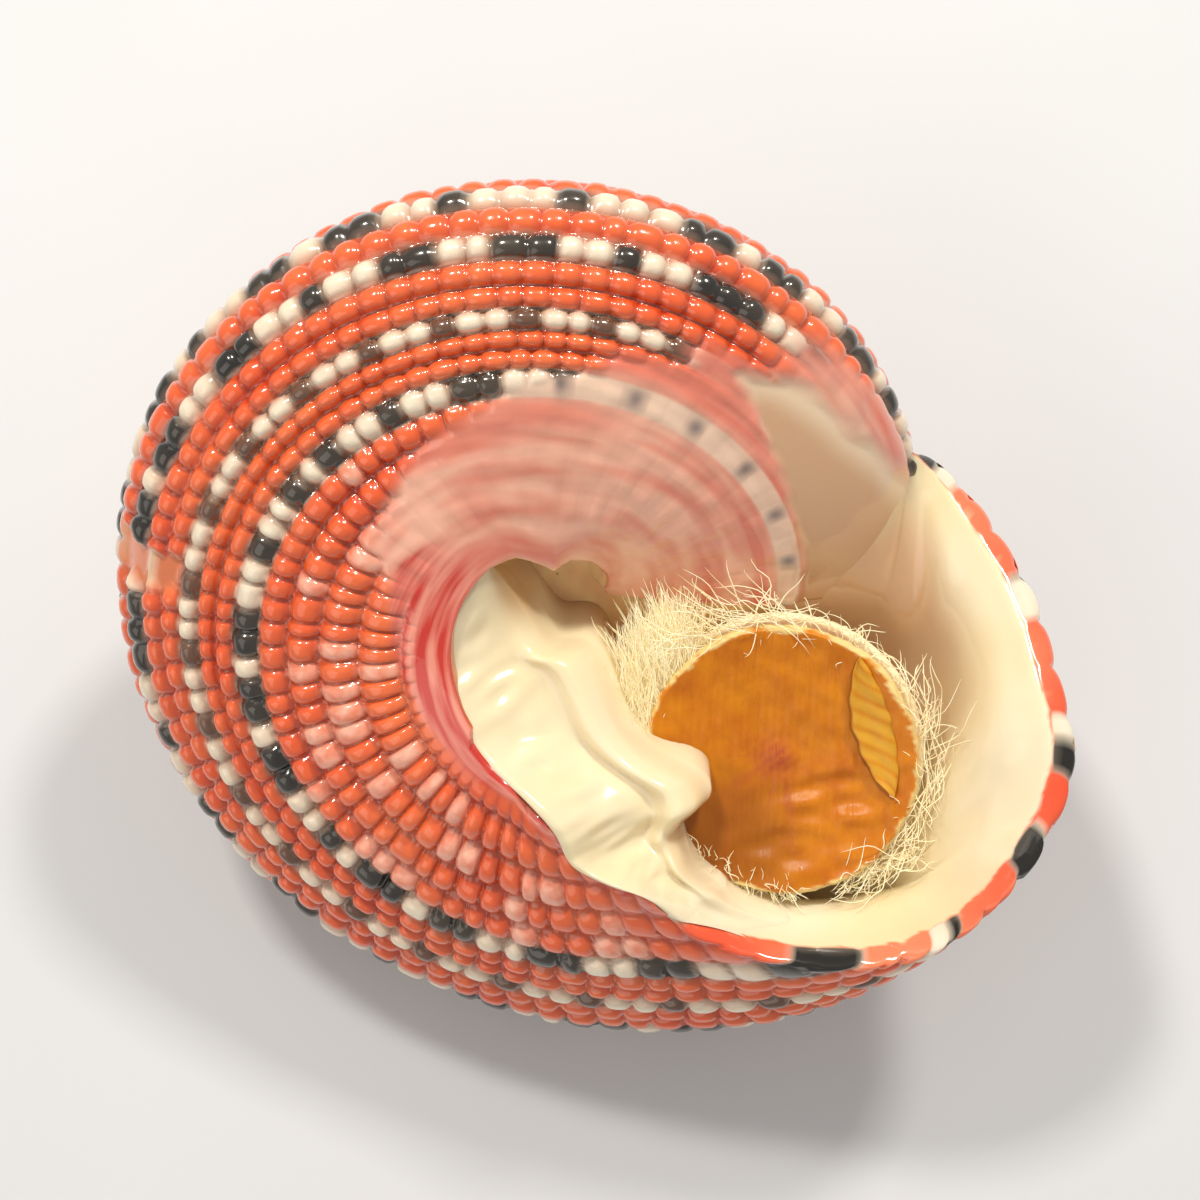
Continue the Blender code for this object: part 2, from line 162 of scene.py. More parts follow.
def surface(name, points, material, masks=None, wrap=None, closed=False, flip=False):
    """Quads between neighbouring grid points. A closed grid joins its last column to its first.
    masks are values at the points, and wrap is their place on the flat pattern."""
    rows, columns = points.shape[:2]
    number = np.arange(rows * columns).reshape(rows, columns)
    if closed:
        number = np.concatenate([number, number[:, :1]], 1)
    quads = np.stack([number[:-1, :-1], number[:-1, 1:], number[1:, 1:], number[1:, :-1]], -1)
    quads = quads.reshape(-1, 4)
    if flip:
        quads = quads[:, ::-1]
    mesh = bpy.data.meshes.new(name)
    mesh.vertices.add(rows * columns)
    mesh.vertices.foreach_set("co", points.reshape(-1))
    mesh.loops.add(quads.size)
    mesh.loops.foreach_set("vertex_index", quads.reshape(-1))
    mesh.polygons.add(len(quads))
    mesh.polygons.foreach_set("loop_start", np.arange(0, quads.size, 4))
    mesh.update(calc_edges=True)
    for mask, values in (masks or {}).items():
        values = np.broadcast_to(values, (rows, columns)).astype(np.float32)
        layer = mesh.attributes.new(mask, 'FLOAT', 'POINT')
        layer.data.foreach_set("value", values.reshape(-1))
    if wrap is not None:
        corners = wrap.reshape(-1, 2)[quads.reshape(-1)].astype(np.float32)
        mesh.uv_layers.new(name="wrap").data.foreach_set("uv", corners.reshape(-1))
    mesh.validate()
    return add_piece(name, mesh, material)


def across(points):
    """Unit normals of a grid: the cross product of its two directions."""
    n = np.cross(np.gradient(points, axis=0), np.gradient(points, axis=1))
    return n / np.maximum(np.linalg.norm(n, axis=-1, keepdims=True), 1e-12)


# %% [markdown]
# The colours lie in thin coats, as they do on the real shell. Each finish could be wired by hand
# in the shader editor. Here a short recipe names its noises and its coats, and one function lays
# the coats in order, so that the finishes can be read and compared.

# %% Coats of colour
# where a noise is read: the node, its settings, its output, and the length of one unit there
SPACES = {
    "place": ("ShaderNodeTexCoord", {}, "Object", MM),
    "wrap": ("ShaderNodeUVMap", {"uv_map": "wrap"}, "UV", 1.0),
}


def colour(hex_code):
    """sRGB hex to linear: divide by 12.92 near black, a power of 2.4 above."""
    parts = np.array([int(hex_code[i:i + 2], 16) for i in (0, 2, 4)]) / 255
    linear = np.where(parts <= 0.04045, parts / 12.92, ((parts + 0.055) / 1.055) ** 2.4)
    return (*linear.tolist(), 1.0)


def node(material, kind, settings):
    """Adds a node. A setting is a property, a socket's value, or an output to link to the socket.
    Sockets go by name or number."""
    made = material.node_tree.nodes.new(kind)
    for key, value in settings.items():
        if isinstance(value, bpy.types.NodeSocket):
            material.node_tree.links.new(value, made.inputs[key])
        elif isinstance(key, str) and hasattr(made, key):
            setattr(made, key, value)
        else:
            made.inputs[key].default_value = value
    return made


def coated(name, noises, recipe, relief=None, **sockets):
    """A material in coats. A noise is (name, space, stretch, lumps to a mm or to a unit of the
    wrap, detail, roughness, value that gives 0, value that gives 1). A line of the recipe is
    (paint, ground, coats), and a coat is (share, strength, paint over it). A share is a noise or
    a mask of the mesh. A ground or a paint is a hex code or an earlier line's name, and the last
    line is the skin. relief is (noise, strength, metres), and sockets are the shader's own."""
    material = bpy.data.materials.new(name)
    material.use_nodes = True
    shader = material.node_tree.nodes["Principled BSDF"]
    for key, value in sockets.items():
        shader.inputs[key.replace("_", " ")].default_value = value
    shares = {}
    for noise, space, stretch, lumps, detail, rough, low, high in noises:
        kind, how, output, unit = SPACES[space]
        spot = node(material, kind, how).outputs[output]
        if stretch:
            spot = node(material, "ShaderNodeMapping", {"Scale": stretch, "Vector": spot}).outputs[0]
        cloud = node(material, "ShaderNodeTexNoise", {
            "Scale": lumps / unit, "Detail": detail, "Roughness": rough, "Vector": spot})
        shares[noise] = node(material, "ShaderNodeMapRange", {
            "From Min": low, "From Max": high, "Value": cloud.outputs["Fac"]}).outputs["Result"]
    masks = {share for _, _, *coats in recipe for share, _, _ in coats} - set(shares)
    for mask in sorted(masks):
        shares[mask] = node(material, "ShaderNodeAttribute", {"attribute_name": mask}).outputs["Fac"]
    paints = {}
    for paint, ground, *coats in recipe:
        skin = paints[ground] if ground in paints else colour(ground)
        for share, strength, over in coats:
            amount = shares[share]
            if strength != 1:
                amount = node(material, "ShaderNodeMath", {
                    "operation": 'MULTIPLY', 0: amount, 1: strength}).outputs[0]
            over = paints[over] if over in paints else colour(over)
            skin = node(material, "ShaderNodeMix", {
                "data_type": 'RGBA', 0: amount, 6: skin, 7: over}).outputs[2]
        paints[paint] = skin
    link = material.node_tree.links.new
    link(skin, shader.inputs["Base Color"])
    if relief:
        noise, strength, depth = relief
        bump = node(material, "ShaderNodeBump", {
            "Strength": strength, "Distance": depth, "Height": shares[noise]})
        link(bump.outputs["Normal"], shader.inputs["Normal"])
    print(name, "has", len(noises), "noises,", len(masks), "masks and", len(paints), "paints")
    return material


# %% [markdown]
# The beaded outside is limy shell with a thin hard skin. It is glassy, so each bead carries two
# tiny sharp lights, which a clear coat gives. Coral red beads stand on a darker red ground. Some
# cords carry cream and black beads instead. Beside the mouth a pink milky glaze runs over the old
# beads, and the last black ones show through it as grey spots. The streaks in it run round the
# navel, so those noises follow the wrap, whose unit is one cord, about 0.5 mm wide. The finest
# grain, nine lumps to a mm, is coarser than on a real shell, where it wouldn't show.

# %% Beaded shell
BEADED = coated(
    "glossy_beaded_shell",
    [("blotch", "place", None, 0.42, 3.0, 0.6, 0.35, 0.68),
     ("speck", "place", None, 2.6, 2.0, 0.5, 0.35, 0.7),
     ("streak", "wrap", (0.11, 0.8, 1.0), 1.2, 2.0, 0.5, 0.42, 0.66),
     ("thread", "wrap", (0.12, 3.0, 1.0), 1.0, 2.0, 0.5, 0.36, 0.60),
     ("fine", "place", None, 9.0, 2.0, 0.5, 0.0, 1.0)],
    [("coral", "B4300E", ("bead", 1, "E95E28"), ("blotch", 0.40, "F28A50"),
      ("speck", 0.25, "C8401C")),
     ("cream", "9C6C50", ("bead", 1, "EADFC9"), ("speck", 0.30, "E2B8A0")),
     ("black", "14120F", ("blotch", 0.8, "4A3F33"), ("brown", 1, "6E4A36")),
     ("pink", "E8876A", ("speck", 1, "F2B7A0")),
     # the nacre turns darker with deep: partly its own colour, partly painted shade deep in the mouth
     ("nacre", "D0A883", ("deep", 1, "B68154"), ("lip_side", 1, "EAD3B6")),
     ("milk", "F1B9A2", ("streak", 0.75, "D4604C"), ("redder", 0.75, "D65A44"),
      ("under_cream", 0.8, "EACFB8"), ("under_black", 0.85, "6E6466"), ("nacre", 1, "nacre")),
     ("healed", "DE7A4A", ("healed_line", 1, "E8C7A2")),
     ("ribbon", "E38E7C", ("thread", 1, "C22A1C")),
     ("skin", "coral", ("pink", 1, "pink"), ("cream", 1, "cream"), ("black", 1, "black"),
      ("glaze", 1, "milk"), ("healed", 1, "healed"), ("ribbon", 1, "ribbon"),
      ("tan", 1, "F6D6A2"))],
    ("fine", 0.12, 0.03 * MM), Roughness=0.24, Coat_Weight=1.0, Coat_Roughness=0.03,
    Subsurface_Weight=0.03, Subsurface_Scale=0.2 * MM, Subsurface_Radius=(1.0, 0.35, 0.2))

# %% [markdown]
# The columella, the callus and the inside of the lip are porcelain: dense white shell laid down
# in thin sheets. It is cream and very glossy, and light goes a little way into it, which softens
# its shadows. Deeper in the mouth it turns to tan and amber: partly the nacre's own colour, and
# partly painted shade of the mouth's depth and of the callus's underside. One finish with masks
# serves all of it, because the colours run into each other.

# %% Porcelain and nacre
PORCELAIN = coated(
    "porcelain_callus",
    [("cloud", "place", None, 0.26, 3.0, 0.5, 0.3, 0.75),
     ("fine", "place", None, 0.9, 3.0, 0.5, 0.0, 1.0)],
    [("coral", "E4512C", ("cloud", 1, "F08A64")),
     # tan and amber are the nacre's own tan, darkened by painted shade deep in the mouth and under the
     # callus
     ("skin", "EFE5CA", ("cloud", 1, "E4D3A6"), ("rose", 1, "CAA17B"), ("tan", 1, "B68658"),
      ("amber", 1, "BC9054"), ("coral", 1, "coral"), ("cream", 1, "EADFCB"),
      ("black", 1, "15130F"))],
    ("fine", 0.1, 0.04 * MM), Roughness=0.16, Coat_Weight=0.6, Coat_Roughness=0.04,
    Subsurface_Weight=0.25, Subsurface_Scale=0.6 * MM, Subsurface_Radius=(1.0, 0.75, 0.45))

# %% [markdown]
# The section of a whorl carries nineteen cords of beads, and a twentieth that is lost in the plain
# margin. Cord 1 lies under the seam, cord 7 is the widest, and cords 8 to 19 run over the base to
# the navel. The section could be traced as a bezier curve, but as a list it can be read at any
# cord number. The growth lines stand across the cords and lean back towards the lip, so the edge
# of the lip is a slanting line.

# %% Section, lip and flare
# cord number, radius and height in units
SECTION = [(0, 0.640, 0.790), (0.5, 0.672, 0.766), (2, 0.772, 0.820), (4, 0.897, 0.955),
           (6, 0.990, 1.112), (7, 1.000, 1.194), (9, 0.938, 1.321), (12, 0.796, 1.399),
           (15, 0.657, 1.441), (17, 0.527, 1.462), (19, 0.375, 1.470), (20.5, 0.262, 1.462),
           (21.5, 0.205, 1.450)]
# cord number and the spiral angle in degrees where it ends at the lip
LIP = [(0, 380), (1, 374), (4, 361), (7, 351), (9, 341), (12, 328), (15, 316),
       (17, 303), (19, 297), (20.5, 282), (21.5, 265)]
LEAN_START = math.radians(190)
# cord number and how far it is pushed outwards at the lip
FLARE = [(0, 0.0), (4, -0.045), (6, -0.080), (7, -0.060), (9, -0.010), (12, 0.085),
         (15, 0.120), (17, 0.090), (19, 0.040), (21.5, 0.0)]
FLARE_START = math.radians(285)
FLARE_FULL = math.radians(325)


def flare(row, angle):
    """The push outwards of a cord, which fades in between the two flare angles."""
    return through(FLARE, row)[..., 0] * smooth((angle - FLARE_START) / (FLARE_FULL - FLARE_START))


def whorl(row, column, inset=0.0):
    """A point of the whorl's face, or inset below it, and its spiral angle. The angle is the
    growth line's own, less the lean of the lip at that cord."""
    row, column = np.broadcast_arrays(np.asarray(row, float), np.asarray(column, float))
    behind = np.radians(through(LIP, row)[..., 0]) - MOUTH
    angle = column + behind * smooth((column - LEAN_START) / (MOUTH - LEAN_START))
    step = 0.05
    along = through(SECTION, row + step) - through(SECTION, row - step)
    along = along / np.linalg.norm(along, axis=-1, keepdims=True)
    push = flare(row, angle)
    here = through(SECTION, row)
    radius = here[..., 0] + push - along[..., 1] * inset
    return place(radius, here[..., 1] + along[..., 0] * inset, angle), angle


lip_at_7 = float(np.linalg.norm(whorl(7, MOUTH)[0][:2])) * UNIT / MM
print("cord 7 ends", round(lip_at_7, 1), "mm from the axis")

# %% [markdown]
# Each cord is a low ridge that carries beads. They could be thousands of small meshes. Worked out
# as a height over cord number and angle, they melt into their cord, as real ones do. A bead is a
# rounded lump with flat sides: its height falls off with a power of the distance from its
# middle, first slowly and then fast. The colours follow a string of letters for each cord, one
# letter to a bead: b black, w cream.

# %% Beads
BEAD_HEIGHT = 0.021             # units, at spiral angle 0
RIDGE_HEIGHT = 0.008
DRAWS = 512                     # random numbers drawn for a cord, one to a bead
GREY_CORD = 15                  # the black beads of this cord show through the glaze
BROWN_CORD = 12
PALE_SHARE = 0.06               # of the beads on cords 16 to 19
# cord and how many beads it has in a turn
BEADS_ROUND = [(1, 88), (9, 88), (12, 82), (15, 72), (17, 64), (19, 58), (20, 58)]
# width of these cords against the others
WIDE_CORDS = {15: 1.16, 12: 1.08, 7: 1.05, 13: 0.92, 14: 0.95}
# cord, with the spiral angle of its first letter in degrees, and its letters
SPOTTED = {
    1: (0, "bbwwbwwbbwbbww"),
    4: (0, "bwwbbwwwbww"),
    7: (92, "wwbwwbbwbbwwbwbbwwbbwbbwwwbw"),
    9: (88, "bbwwbbwwbwwbbwwbbwbbwwbbbwwbww"),
    12: (90, "bwwbwwbwwbww"),
    15: (82.5, "bwwbbwwbwwbwbwwbwwbbwbbwbbwwbwbbwbbwwbbwwbbwwbbwwb"),
}
# cord and the spiral angles in degrees from and to which its beads are pale
PALE_BEADS = [(17, 203, 208), (18, 194, 202), (18, 219, 222), (18, 246, 252), (18, 268, 272),
              (19, 183, 186), (19, 215, 218), (17, 262, 264), (16, 284, 287), (17, 284, 288),
              (16, 238, 240), (17, 160, 162), (18, 150, 152), (16, 228, 230)]


def cords_of_beads(row, degrees):
    """Height of the beads in units, and the masks of their colours, over a grid of cord numbers
    and spiral angles. v and p go from -1 to 1 across a bead and along it. Its body is 1 less a
    power of v and a power of p, to a power again. The highest cord at a point shows."""
    lift = np.zeros_like(row)
    names = ("bead", "black", "brown", "cream", "pink", "under_black", "under_cream")
    masks = {key: np.zeros_like(row) for key in names}
    rng = np.random.default_rng(12)
    for cord in range(1, 21):
        count = between(BEADS_ROUND, cord)
        start, letters = SPOTTED.get(cord, (0, ""))
        shift = 0 if letters else 0.5 * (cord % 2)
        wobble = 0.16 * waves(degrees * 0.23, cord * 3.1, 40 + cord)
        phase = (degrees - start) * count / 360 + wobble + shift
        index = np.floor(phase).astype(int)
        p = 2 * (phase - index) - 1
        v = 2 * (row - cord) / WIDE_CORDS.get(cord, 1.0)
        uneven = rng.uniform(-1, 1, DRAWS)[index % DRAWS]
        body = np.clip(1 - np.abs(v * 0.98) ** 2.6 - np.abs(p) ** 3.0, 0, 1) ** 0.58
        ridge = np.clip(1 - np.abs(v) ** 2, 0, 1)
        tall = BEAD_HEIGHT * (1.08 if letters else 1.0)
        height = tall * (1 + 0.12 * uneven) * body + RIDGE_HEIGHT * ridge
        show = height > lift
        lift = np.where(show, height, lift)
        masks["bead"] = np.where(show, body, masks["bead"])
        near = smooth((1.12 - np.abs(v)) / 0.25)
        if letters:
            order = np.array([letter == "b" for letter in letters], float)
            beside = order[(index + np.where(p > 0, 1, -1)) % len(letters)]
            black = order[index % len(letters)]
            black = black + (beside - black) * 0.5 * smooth((np.abs(p) - 0.72) / 0.28)
            if cord == GREY_CORD:
                black = np.where(index < 0, index % 3 == 0, black)
            through_glaze = 1.0 if cord == GREY_CORD else 0.15
            spot = np.exp(-1.7 * (v ** 2 + p ** 2)) * black
            found = {"black": near * black, "cream": near,
                     "brown": near * (0.75 if cord == BROWN_CORD else 0.0),
                     "under_black": spot * through_glaze, "under_cream": near * through_glaze}
        else:
            pale = rng.uniform(0, 1, DRAWS)[index % DRAWS] < (PALE_SHARE if 16 <= cord <= 19 else 0.0)
            middle = (index + 0.5 - shift) * 360 / count
            for pale_cord, first, last in PALE_BEADS:
                if pale_cord == cord:
                    pale = pale | ((middle > first - 2.5) & (middle < last + 2.5))
            found = {"pink": near * body ** 0.3 * pale}
        for key, values in found.items():
            masks[key] = np.maximum(masks[key], values)
    return lift, masks


bead_length = TURN * UNIT / MM / between(BEADS_ROUND, 7)
print("a bead of cord 7 is", round(float(bead_length), 2), "mm long at spiral angle 0")

# %% [markdown]
# Three things lie over the beads. An old break has healed with smooth orange shell. A milky glaze
# ends along a line across the cords, and further in the bare nacre shows. Each is a mask with soft
# edges, and where it is full its own height takes the place of the beads. Separate thin sheets
# could lie there instead, but they would meet the beads with a hard edge.

# %% Glaze, nacre and the healed break
GLAZE_THICK = 0.020
NACRE_THICK = 0.004
# cord and the spiral angle in degrees where the glaze on it ends
GLAZE_EDGE = [(0, -200), (6.5, -60), (7.5, 14), (9, 40), (12, 58), (15, 84), (17, 120), (19, 152),
              (21.5, 165)]
HEALED = (168, 176.5, 7.7, 11.6)   # spiral angles and cords of the old break
# spiral angle and the cord where the milky pad ends, and bare nacre lies outwards of it
PAD_EDGE = [(-80, 14.4), (0, 14.3), (13, 14.4), (24.5, 14.2), (38.5, 13.5), (48, 12.4), (54, 11.9),
            (58, 11)]
# spiral angle and the cord where that nacre begins on its other side
NACRE_TOP = [(-80, 6), (11, 7.2), (15, 7.6), (29, 9.3), (37, 9.8), (45.5, 10.4), (54.5, 11.6),
             (58, 12.5)]
NEAR_LIP = (335, 375)           # growth lines between which the beads flatten
FLATTER = 0.6                   # share of their height that the beads lose there


def bead_fields(row, angle, column=None, glazed=1):
    """The beads and what lies over them, as height in units and masks. glazed is 0 on the side
    and the spire, where nothing lies over the beads. With column, they flatten towards the lip.
    A cover of share s leaves 1 - s of the height below it and adds s times its own. Only the
    glaze leaves a little more, so the beads still show in it."""
    degrees = np.degrees(angle)
    lift, masks = cords_of_beads(row, degrees)
    first, last, low, high = HEALED
    broken = degrees + 0.9 * waves(row * 2.4, 0 * row, 77)
    healed = glazed * smooth((broken - first) / 1.2) * smooth((last - broken) / 3)
    healed = healed * smooth((row - low) / 0.5) * smooth((high - row) / 0.5)
    line = np.maximum(hill((row - 9.9) / 0.22), hill((row - 7.9) / 0.2))
    lift = lift * (1 - healed) + healed * (0.004 + 0.010 * line)
    ends = through(GLAZE_EDGE, row)[..., 0]
    glaze = 1 - smooth((degrees + 4 * waves(row * 2.2, degrees * 0.12, 5) - ends) / 12)
    glaze = glazed * glaze
    top = between(NACRE_TOP, degrees)
    ragged = 0.25 * waves(degrees * 0.12, row, 61)
    nacre = smooth(between(PAD_EDGE, degrees) - row + 0.5 + ragged)
    nacre = glazed * nacre * smooth(row - top + 0.5 + ragged) * smooth((60 - degrees) / 6)
    pad = GLAZE_THICK + 0.004 * waves(row * 1.1, degrees * 0.09, 14)
    lift = lift * (1 - 0.95 * glaze) + pad * glaze
    lift = lift * (1 - nacre) + NACRE_THICK * nacre
    redder = smooth((15.2 - row) / 2) * smooth((degrees - 20) / 40) * (1 - nacre)
    redder = redder + 0.8 * hill((row - 16.2) / 0.7) * smooth((degrees - 60) / 25)
    # deep darkens the nacre further back into the coil: partly its own darker tan, partly painted shade
    # of the mouth's depth
    masks.update(healed=healed, healed_line=line, lip_side=smooth(1 - (row - top) / 1.9),
                 nacre=nacre, deep=smooth((35 - degrees) / 75), redder=redder,
                 glaze=np.maximum(glaze * 0.95, nacre))
    if column is not None:
        begins, full = NEAR_LIP
        lift = lift * (1 - FLATTER * smooth((np.degrees(column) - begins) / (full - begins)))
    return lift, masks


print("the glaze ends on cord 12 at", GLAZE_EDGE[4][1], "degrees")

# %% [markdown]
# The last whorl's base carries twelve cords. Inside them lie a plain margin, the rim of the
# navel, and the wall of the navel, which goes down towards the axis. The navel could be a piece
# of its own. All of it is one grid here, so that no seam shows where the margin turns down. The
# grid starts a little inside the mouth, on the whorl before, and ends at the lip.

# %% The base and the navel
WRAP_ROUND = 9                  # units of the wrap in a radian, each about as long as a cord is wide
# spiral angle in degrees and the radius of the navel's rim there
NAVEL_RIM = [(-100, 0.300), (-20, 0.200), (-4, 0.150), (4, 0.144), (30, 0.172), (55, 0.186),
             (72, 0.178), (85, 0.148), (97, 0.180), (109, 0.215), (124, 0.222), (160, 0.205),
             (200, 0.190), (380, 0.190)]
MARGIN_END = 20.9               # cord number where the margin turns down into the navel
NAVEL_FLOOR = 1.36              # height in units
GLAZE_LIP = -4                  # spiral angle where the glaze on the old whorl breaks off
BREAK_DEPTH = 0.045
# spiral angle and how far from the axis the red ribbon reaches
RIBBON = [(90, 0.30), (125, 0.352), (146, 0.389), (166, 0.345), (196, 0.295), (225, 0.262),
          (263, 0.250), (289, 0.362), (300, 0.452), (380, 0.61)]
RED_SPOTS = [(18.75, 288.5), (18.35, 293.5), (18.0, 297.5)]   # cord and spiral angle
# from this cord inwards, by spiral angle, the callus covers the margin, which sinks under it
CALLUS_OVER = [(215, 21.3), (232, 20.5), (260, 20.3), (268, 20.1), (277, 20.3), (281, 19.8),
               (284, 19.2), (292, 18.7), (296, 18.4), (300, 18.0), (304, 17.6)]
UNDER_CALLUS = 0.22             # how deep it sinks

columns = np.radians(np.arange(-70, 380.01, 0.56))
rows = np.concatenate([np.arange(7.5, 19.5, 0.125), np.linspace(19.5, MARGIN_END, 14)])
row_grid, column_grid = np.meshgrid(rows, columns, indexing="ij")
base, angle = whorl(row_grid, column_grid)
degrees = np.degrees(angle)
lift, masks = bead_fields(row_grid, angle, column_grid)
margin = smooth((row_grid - 19.3) / 0.6)
lift = lift * (1 - margin) + 0.02 * margin
# the inner rows are pulled to the rim of the navel
rim = between(NAVEL_RIM, degrees)
plain = through(SECTION, row_grid)[..., 0]
pull = smooth((row_grid - 17.0) / 3.9)
aim = plain + (rim - through(SECTION, np.full(1, MARGIN_END))[0, 0]) * pull
before_lip = np.clip((degrees - 262) / 14, 0, 1)
ratio = 1 + (aim / plain - 1) * (1 - before_lip)
base[..., :2] *= ratio[..., None]
base = base + across(base) * (lift * size(angle))[..., None] * -1
inside = smooth((GLAZE_LIP - degrees) / 2.5)
covered = smooth((row_grid - between(CALLUS_OVER, degrees) - 0.1) / 0.4)
covered = covered * smooth((degrees - CALLUS_OVER[0][0]) / 14)
base[..., 2] -= inside * BREAK_DEPTH + covered * UNDER_CALLUS
# the wall narrows with the square of the depth
edge = base[-1]
depth = np.linspace(0, 1, 34)[1:, None]
narrower = 1 - 0.06 * smooth(depth * 4) - 0.92 * depth ** 2
wall_radius = np.linalg.norm(edge[:, :2], axis=-1)[None] * narrower
wall_angle = np.arctan2(edge[:, 1], edge[:, 0])[None] + 0 * depth
drop = 1 - (1 - depth) ** 1.25
wall = np.stack([wall_radius * np.cos(wall_angle), wall_radius * np.sin(wall_angle),
                 edge[None, :, 2] * (1 - drop) + NAVEL_FLOOR * drop], -1)
grid = np.concatenate([base, wall])


def downwards(mask, last):
    """A mask carried on down the wall of the navel with the last value or row given."""
    return np.concatenate([mask, np.broadcast_to(last, (len(wall), mask.shape[1]))])


across_ribbon = np.linalg.norm(base[..., :2], axis=-1) / size(angle)
ribbon = smooth((between(RIBBON, degrees) - across_ribbon) / 0.02) * smooth((degrees - 118) / 25)
masks["ribbon"] = ribbon * smooth((322 - degrees) / 10)
for spot_row, spot_at in RED_SPOTS:
    spot = np.exp(-((row_grid - spot_row) / 0.28) ** 2 - ((degrees - spot_at) / 1.3) ** 2)
    masks["ribbon"] = np.maximum(masks["ribbon"], spot)
base_masks = {key: downwards(mask, 0.0) for key, mask in masks.items()}
base_masks["tan"] = downwards(inside, np.maximum(smooth(depth * 8 - 0.1), inside[-1:]))
base_masks["glaze"] = downwards(masks["glaze"], masks["glaze"][-1:])
wrap = np.stack([np.radians(downwards(degrees, degrees[-1:])) * WRAP_ROUND,
                 downwards(row_grid, 21 + 6 * depth)], -1)
whorl_base = surface("whorl_base", to_row(grid), BEADED, base_masks, wrap)
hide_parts("shell")

# %% [markdown]
# The navel of this shell is nearly filled. Its tan floor is a shallow dish of limy shell. The
# wall's own grid could close there, but its points crowd together at the axis. A round grid makes
# a smoother floor, a little above the place where the wall ends.

# %% The floor of the navel
FLOOR_RADIUS = 0.27
FLOOR_MIDDLE = 1.412            # height in units
FLOOR_RISE = 0.03               # from the middle to the edge
FLOOR_SLOPE = 0.10


def round_grid(reach, steps):
    """Reach and turn of a round grid, from a list of reaches and the number of steps round."""
    return np.meshgrid(reach, np.linspace(0, TURN, steps, endpoint=False), indexing="ij")


reach, turn = round_grid(np.linspace(0.01, 1, 24), 90)
floor_x, floor_y = FLOOR_RADIUS * reach * np.cos(turn), FLOOR_RADIUS * reach * np.sin(turn)
floor_high = FLOOR_MIDDLE + FLOOR_RISE * reach ** 2 - FLOOR_SLOPE * floor_x
floor_high = floor_high + 0.008 * waves(floor_x * 14, floor_y * 14, 71)
dish = np.stack([floor_x, floor_y, floor_high], -1)
dish_masks = {key: 0 * reach for key in (*masks, "tan")}
dish_masks["tan"] = 0.85 + 0.15 * waves(floor_x * 20, floor_y * 20, 72)
navel_floor = surface("navel_floor", to_row(dish), BEADED, dish_masks, dish[..., :2] * WRAP_ROUND,
                      closed=True, flip=True)
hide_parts("shell")

# %% [markdown]
# The side of the whorls faces the table. Seven cords of beads wind on it, and on the turns above
# it all the way to the tip. One grid could hold it all, but the small turns need fewer points to
# a bead. So the last two turns and the spire are a piece each, made by one function.

# %% The side and the spire
SPIRE_FROM = -2700              # degrees; the shell of the hatchling was 0.5 mm wide
TIP_TURN = 40                   # degrees in which the first whorl opens from a point
SIDE_FROM = -340                # growth line in degrees where the spire meets the last two turns


def side(name, first, last, per_bead):
    """The side between two growth lines: points of the whorl's face, moved out by the beads.
    per_bead is the number of points on a bead."""
    step = 360 / BEADS_ROUND[0][1] / per_bead
    columns = np.radians(np.arange(first, last + step / 2, step))
    columns[-1] = math.radians(last)
    rows = np.arange(0, 7.51, 1 / per_bead)
    rows[-1] = 7.5
    row_grid, column_grid = np.meshgrid(rows, columns, indexing="ij")
    points, angle = whorl(row_grid, column_grid)
    lift, masks = bead_fields(row_grid, angle, column_grid, glazed=0)
    points = points - across(points) * (lift * size(angle))[..., None]
    points = points * smooth((np.degrees(column_grid) - SPIRE_FROM) / TIP_TURN)[..., None]
    wrap = np.stack([angle * WRAP_ROUND, row_grid], -1)
    piece = surface(name, to_row(points), BEADED, masks, wrap)
    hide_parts("shell")


side("whorl_side", SIDE_FROM, 380, 6)
side("spire", SPIRE_FROM, SIDE_FROM, 3)

# %% [markdown]
# The shell of the hatchling is a small smooth knob in the eye of the spiral. The whorl's formula
# only comes near the axis there and leaves a hole. A flattened ball, with the same size rule,
# fills it.

# %% The tip
KNOB_RADIUS, KNOB_MIDDLE, KNOB_HALF = 0.62, 0.80, 0.5
knob_size = size(math.radians(SPIRE_FROM + 200))
level, turn = round_grid(np.linspace(-1.5, 1.5, 14), 24)
knob = np.stack([KNOB_RADIUS * np.cos(level) * np.cos(turn),
                 KNOB_RADIUS * np.cos(level) * np.sin(turn),
                 KNOB_MIDDLE + KNOB_HALF * np.sin(level)], -1) * knob_size
spire_tip = surface("spire_tip", to_row(knob), BEADED, {"bead": 0.7 + 0 * turn},
                    np.stack([turn, level], -1), closed=True)
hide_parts("shell")

# %% [markdown]
# The lip is cut off bluntly. Its edge shows a coral layer with the black and cream ends of the
# cords in it, and the porcelain lining starts inside that. The lining goes back into the coil. A
# Solidify modifier could give the wall its thickness, but the edge would be square. So the lining
# is one grid, cords across and depth along, and the depth first turns round the edge.

# %% The lip and its lining
# depth along, how far inside the outer face in units, and how far back from the lip in degrees
EDGE = [(0.0, -0.004, 1.6), (0.03, -0.003, 0.2), (0.07, 0.010, -0.6), (0.13, 0.034, -0.5),
        (0.20, 0.058, 1.2), (0.34, 0.098, 6.5), (0.60, 0.112, 36.0), (1.0, 0.112, 100.0)]
THICKER = 0.75                  # how much thicker the lip is on its lower side, cords 13 to 19
LINING_THICK = 0.112
FACE = np.array([0.0, 0.35, 0.94])   # the way the callus faces
# the corner beside the old whorl: cord number, radius and height in units. Below cord 0 the
# numbers run on over the whorl before
CORNER = [(-6, 0.420, 0.9325), (-4.5, 0.462, 0.9235), (-3, 0.500, 0.9128), (-1.5, 0.548, 0.9035),
          (0, 0.605, 0.8975), (1.2, 0.660, 0.902)]
CORNER_RISE = math.radians(24)  # turn in which the corner rises from the whorl before
CORNER_TO = 5                   # cord where the corner has become the whorl's own face


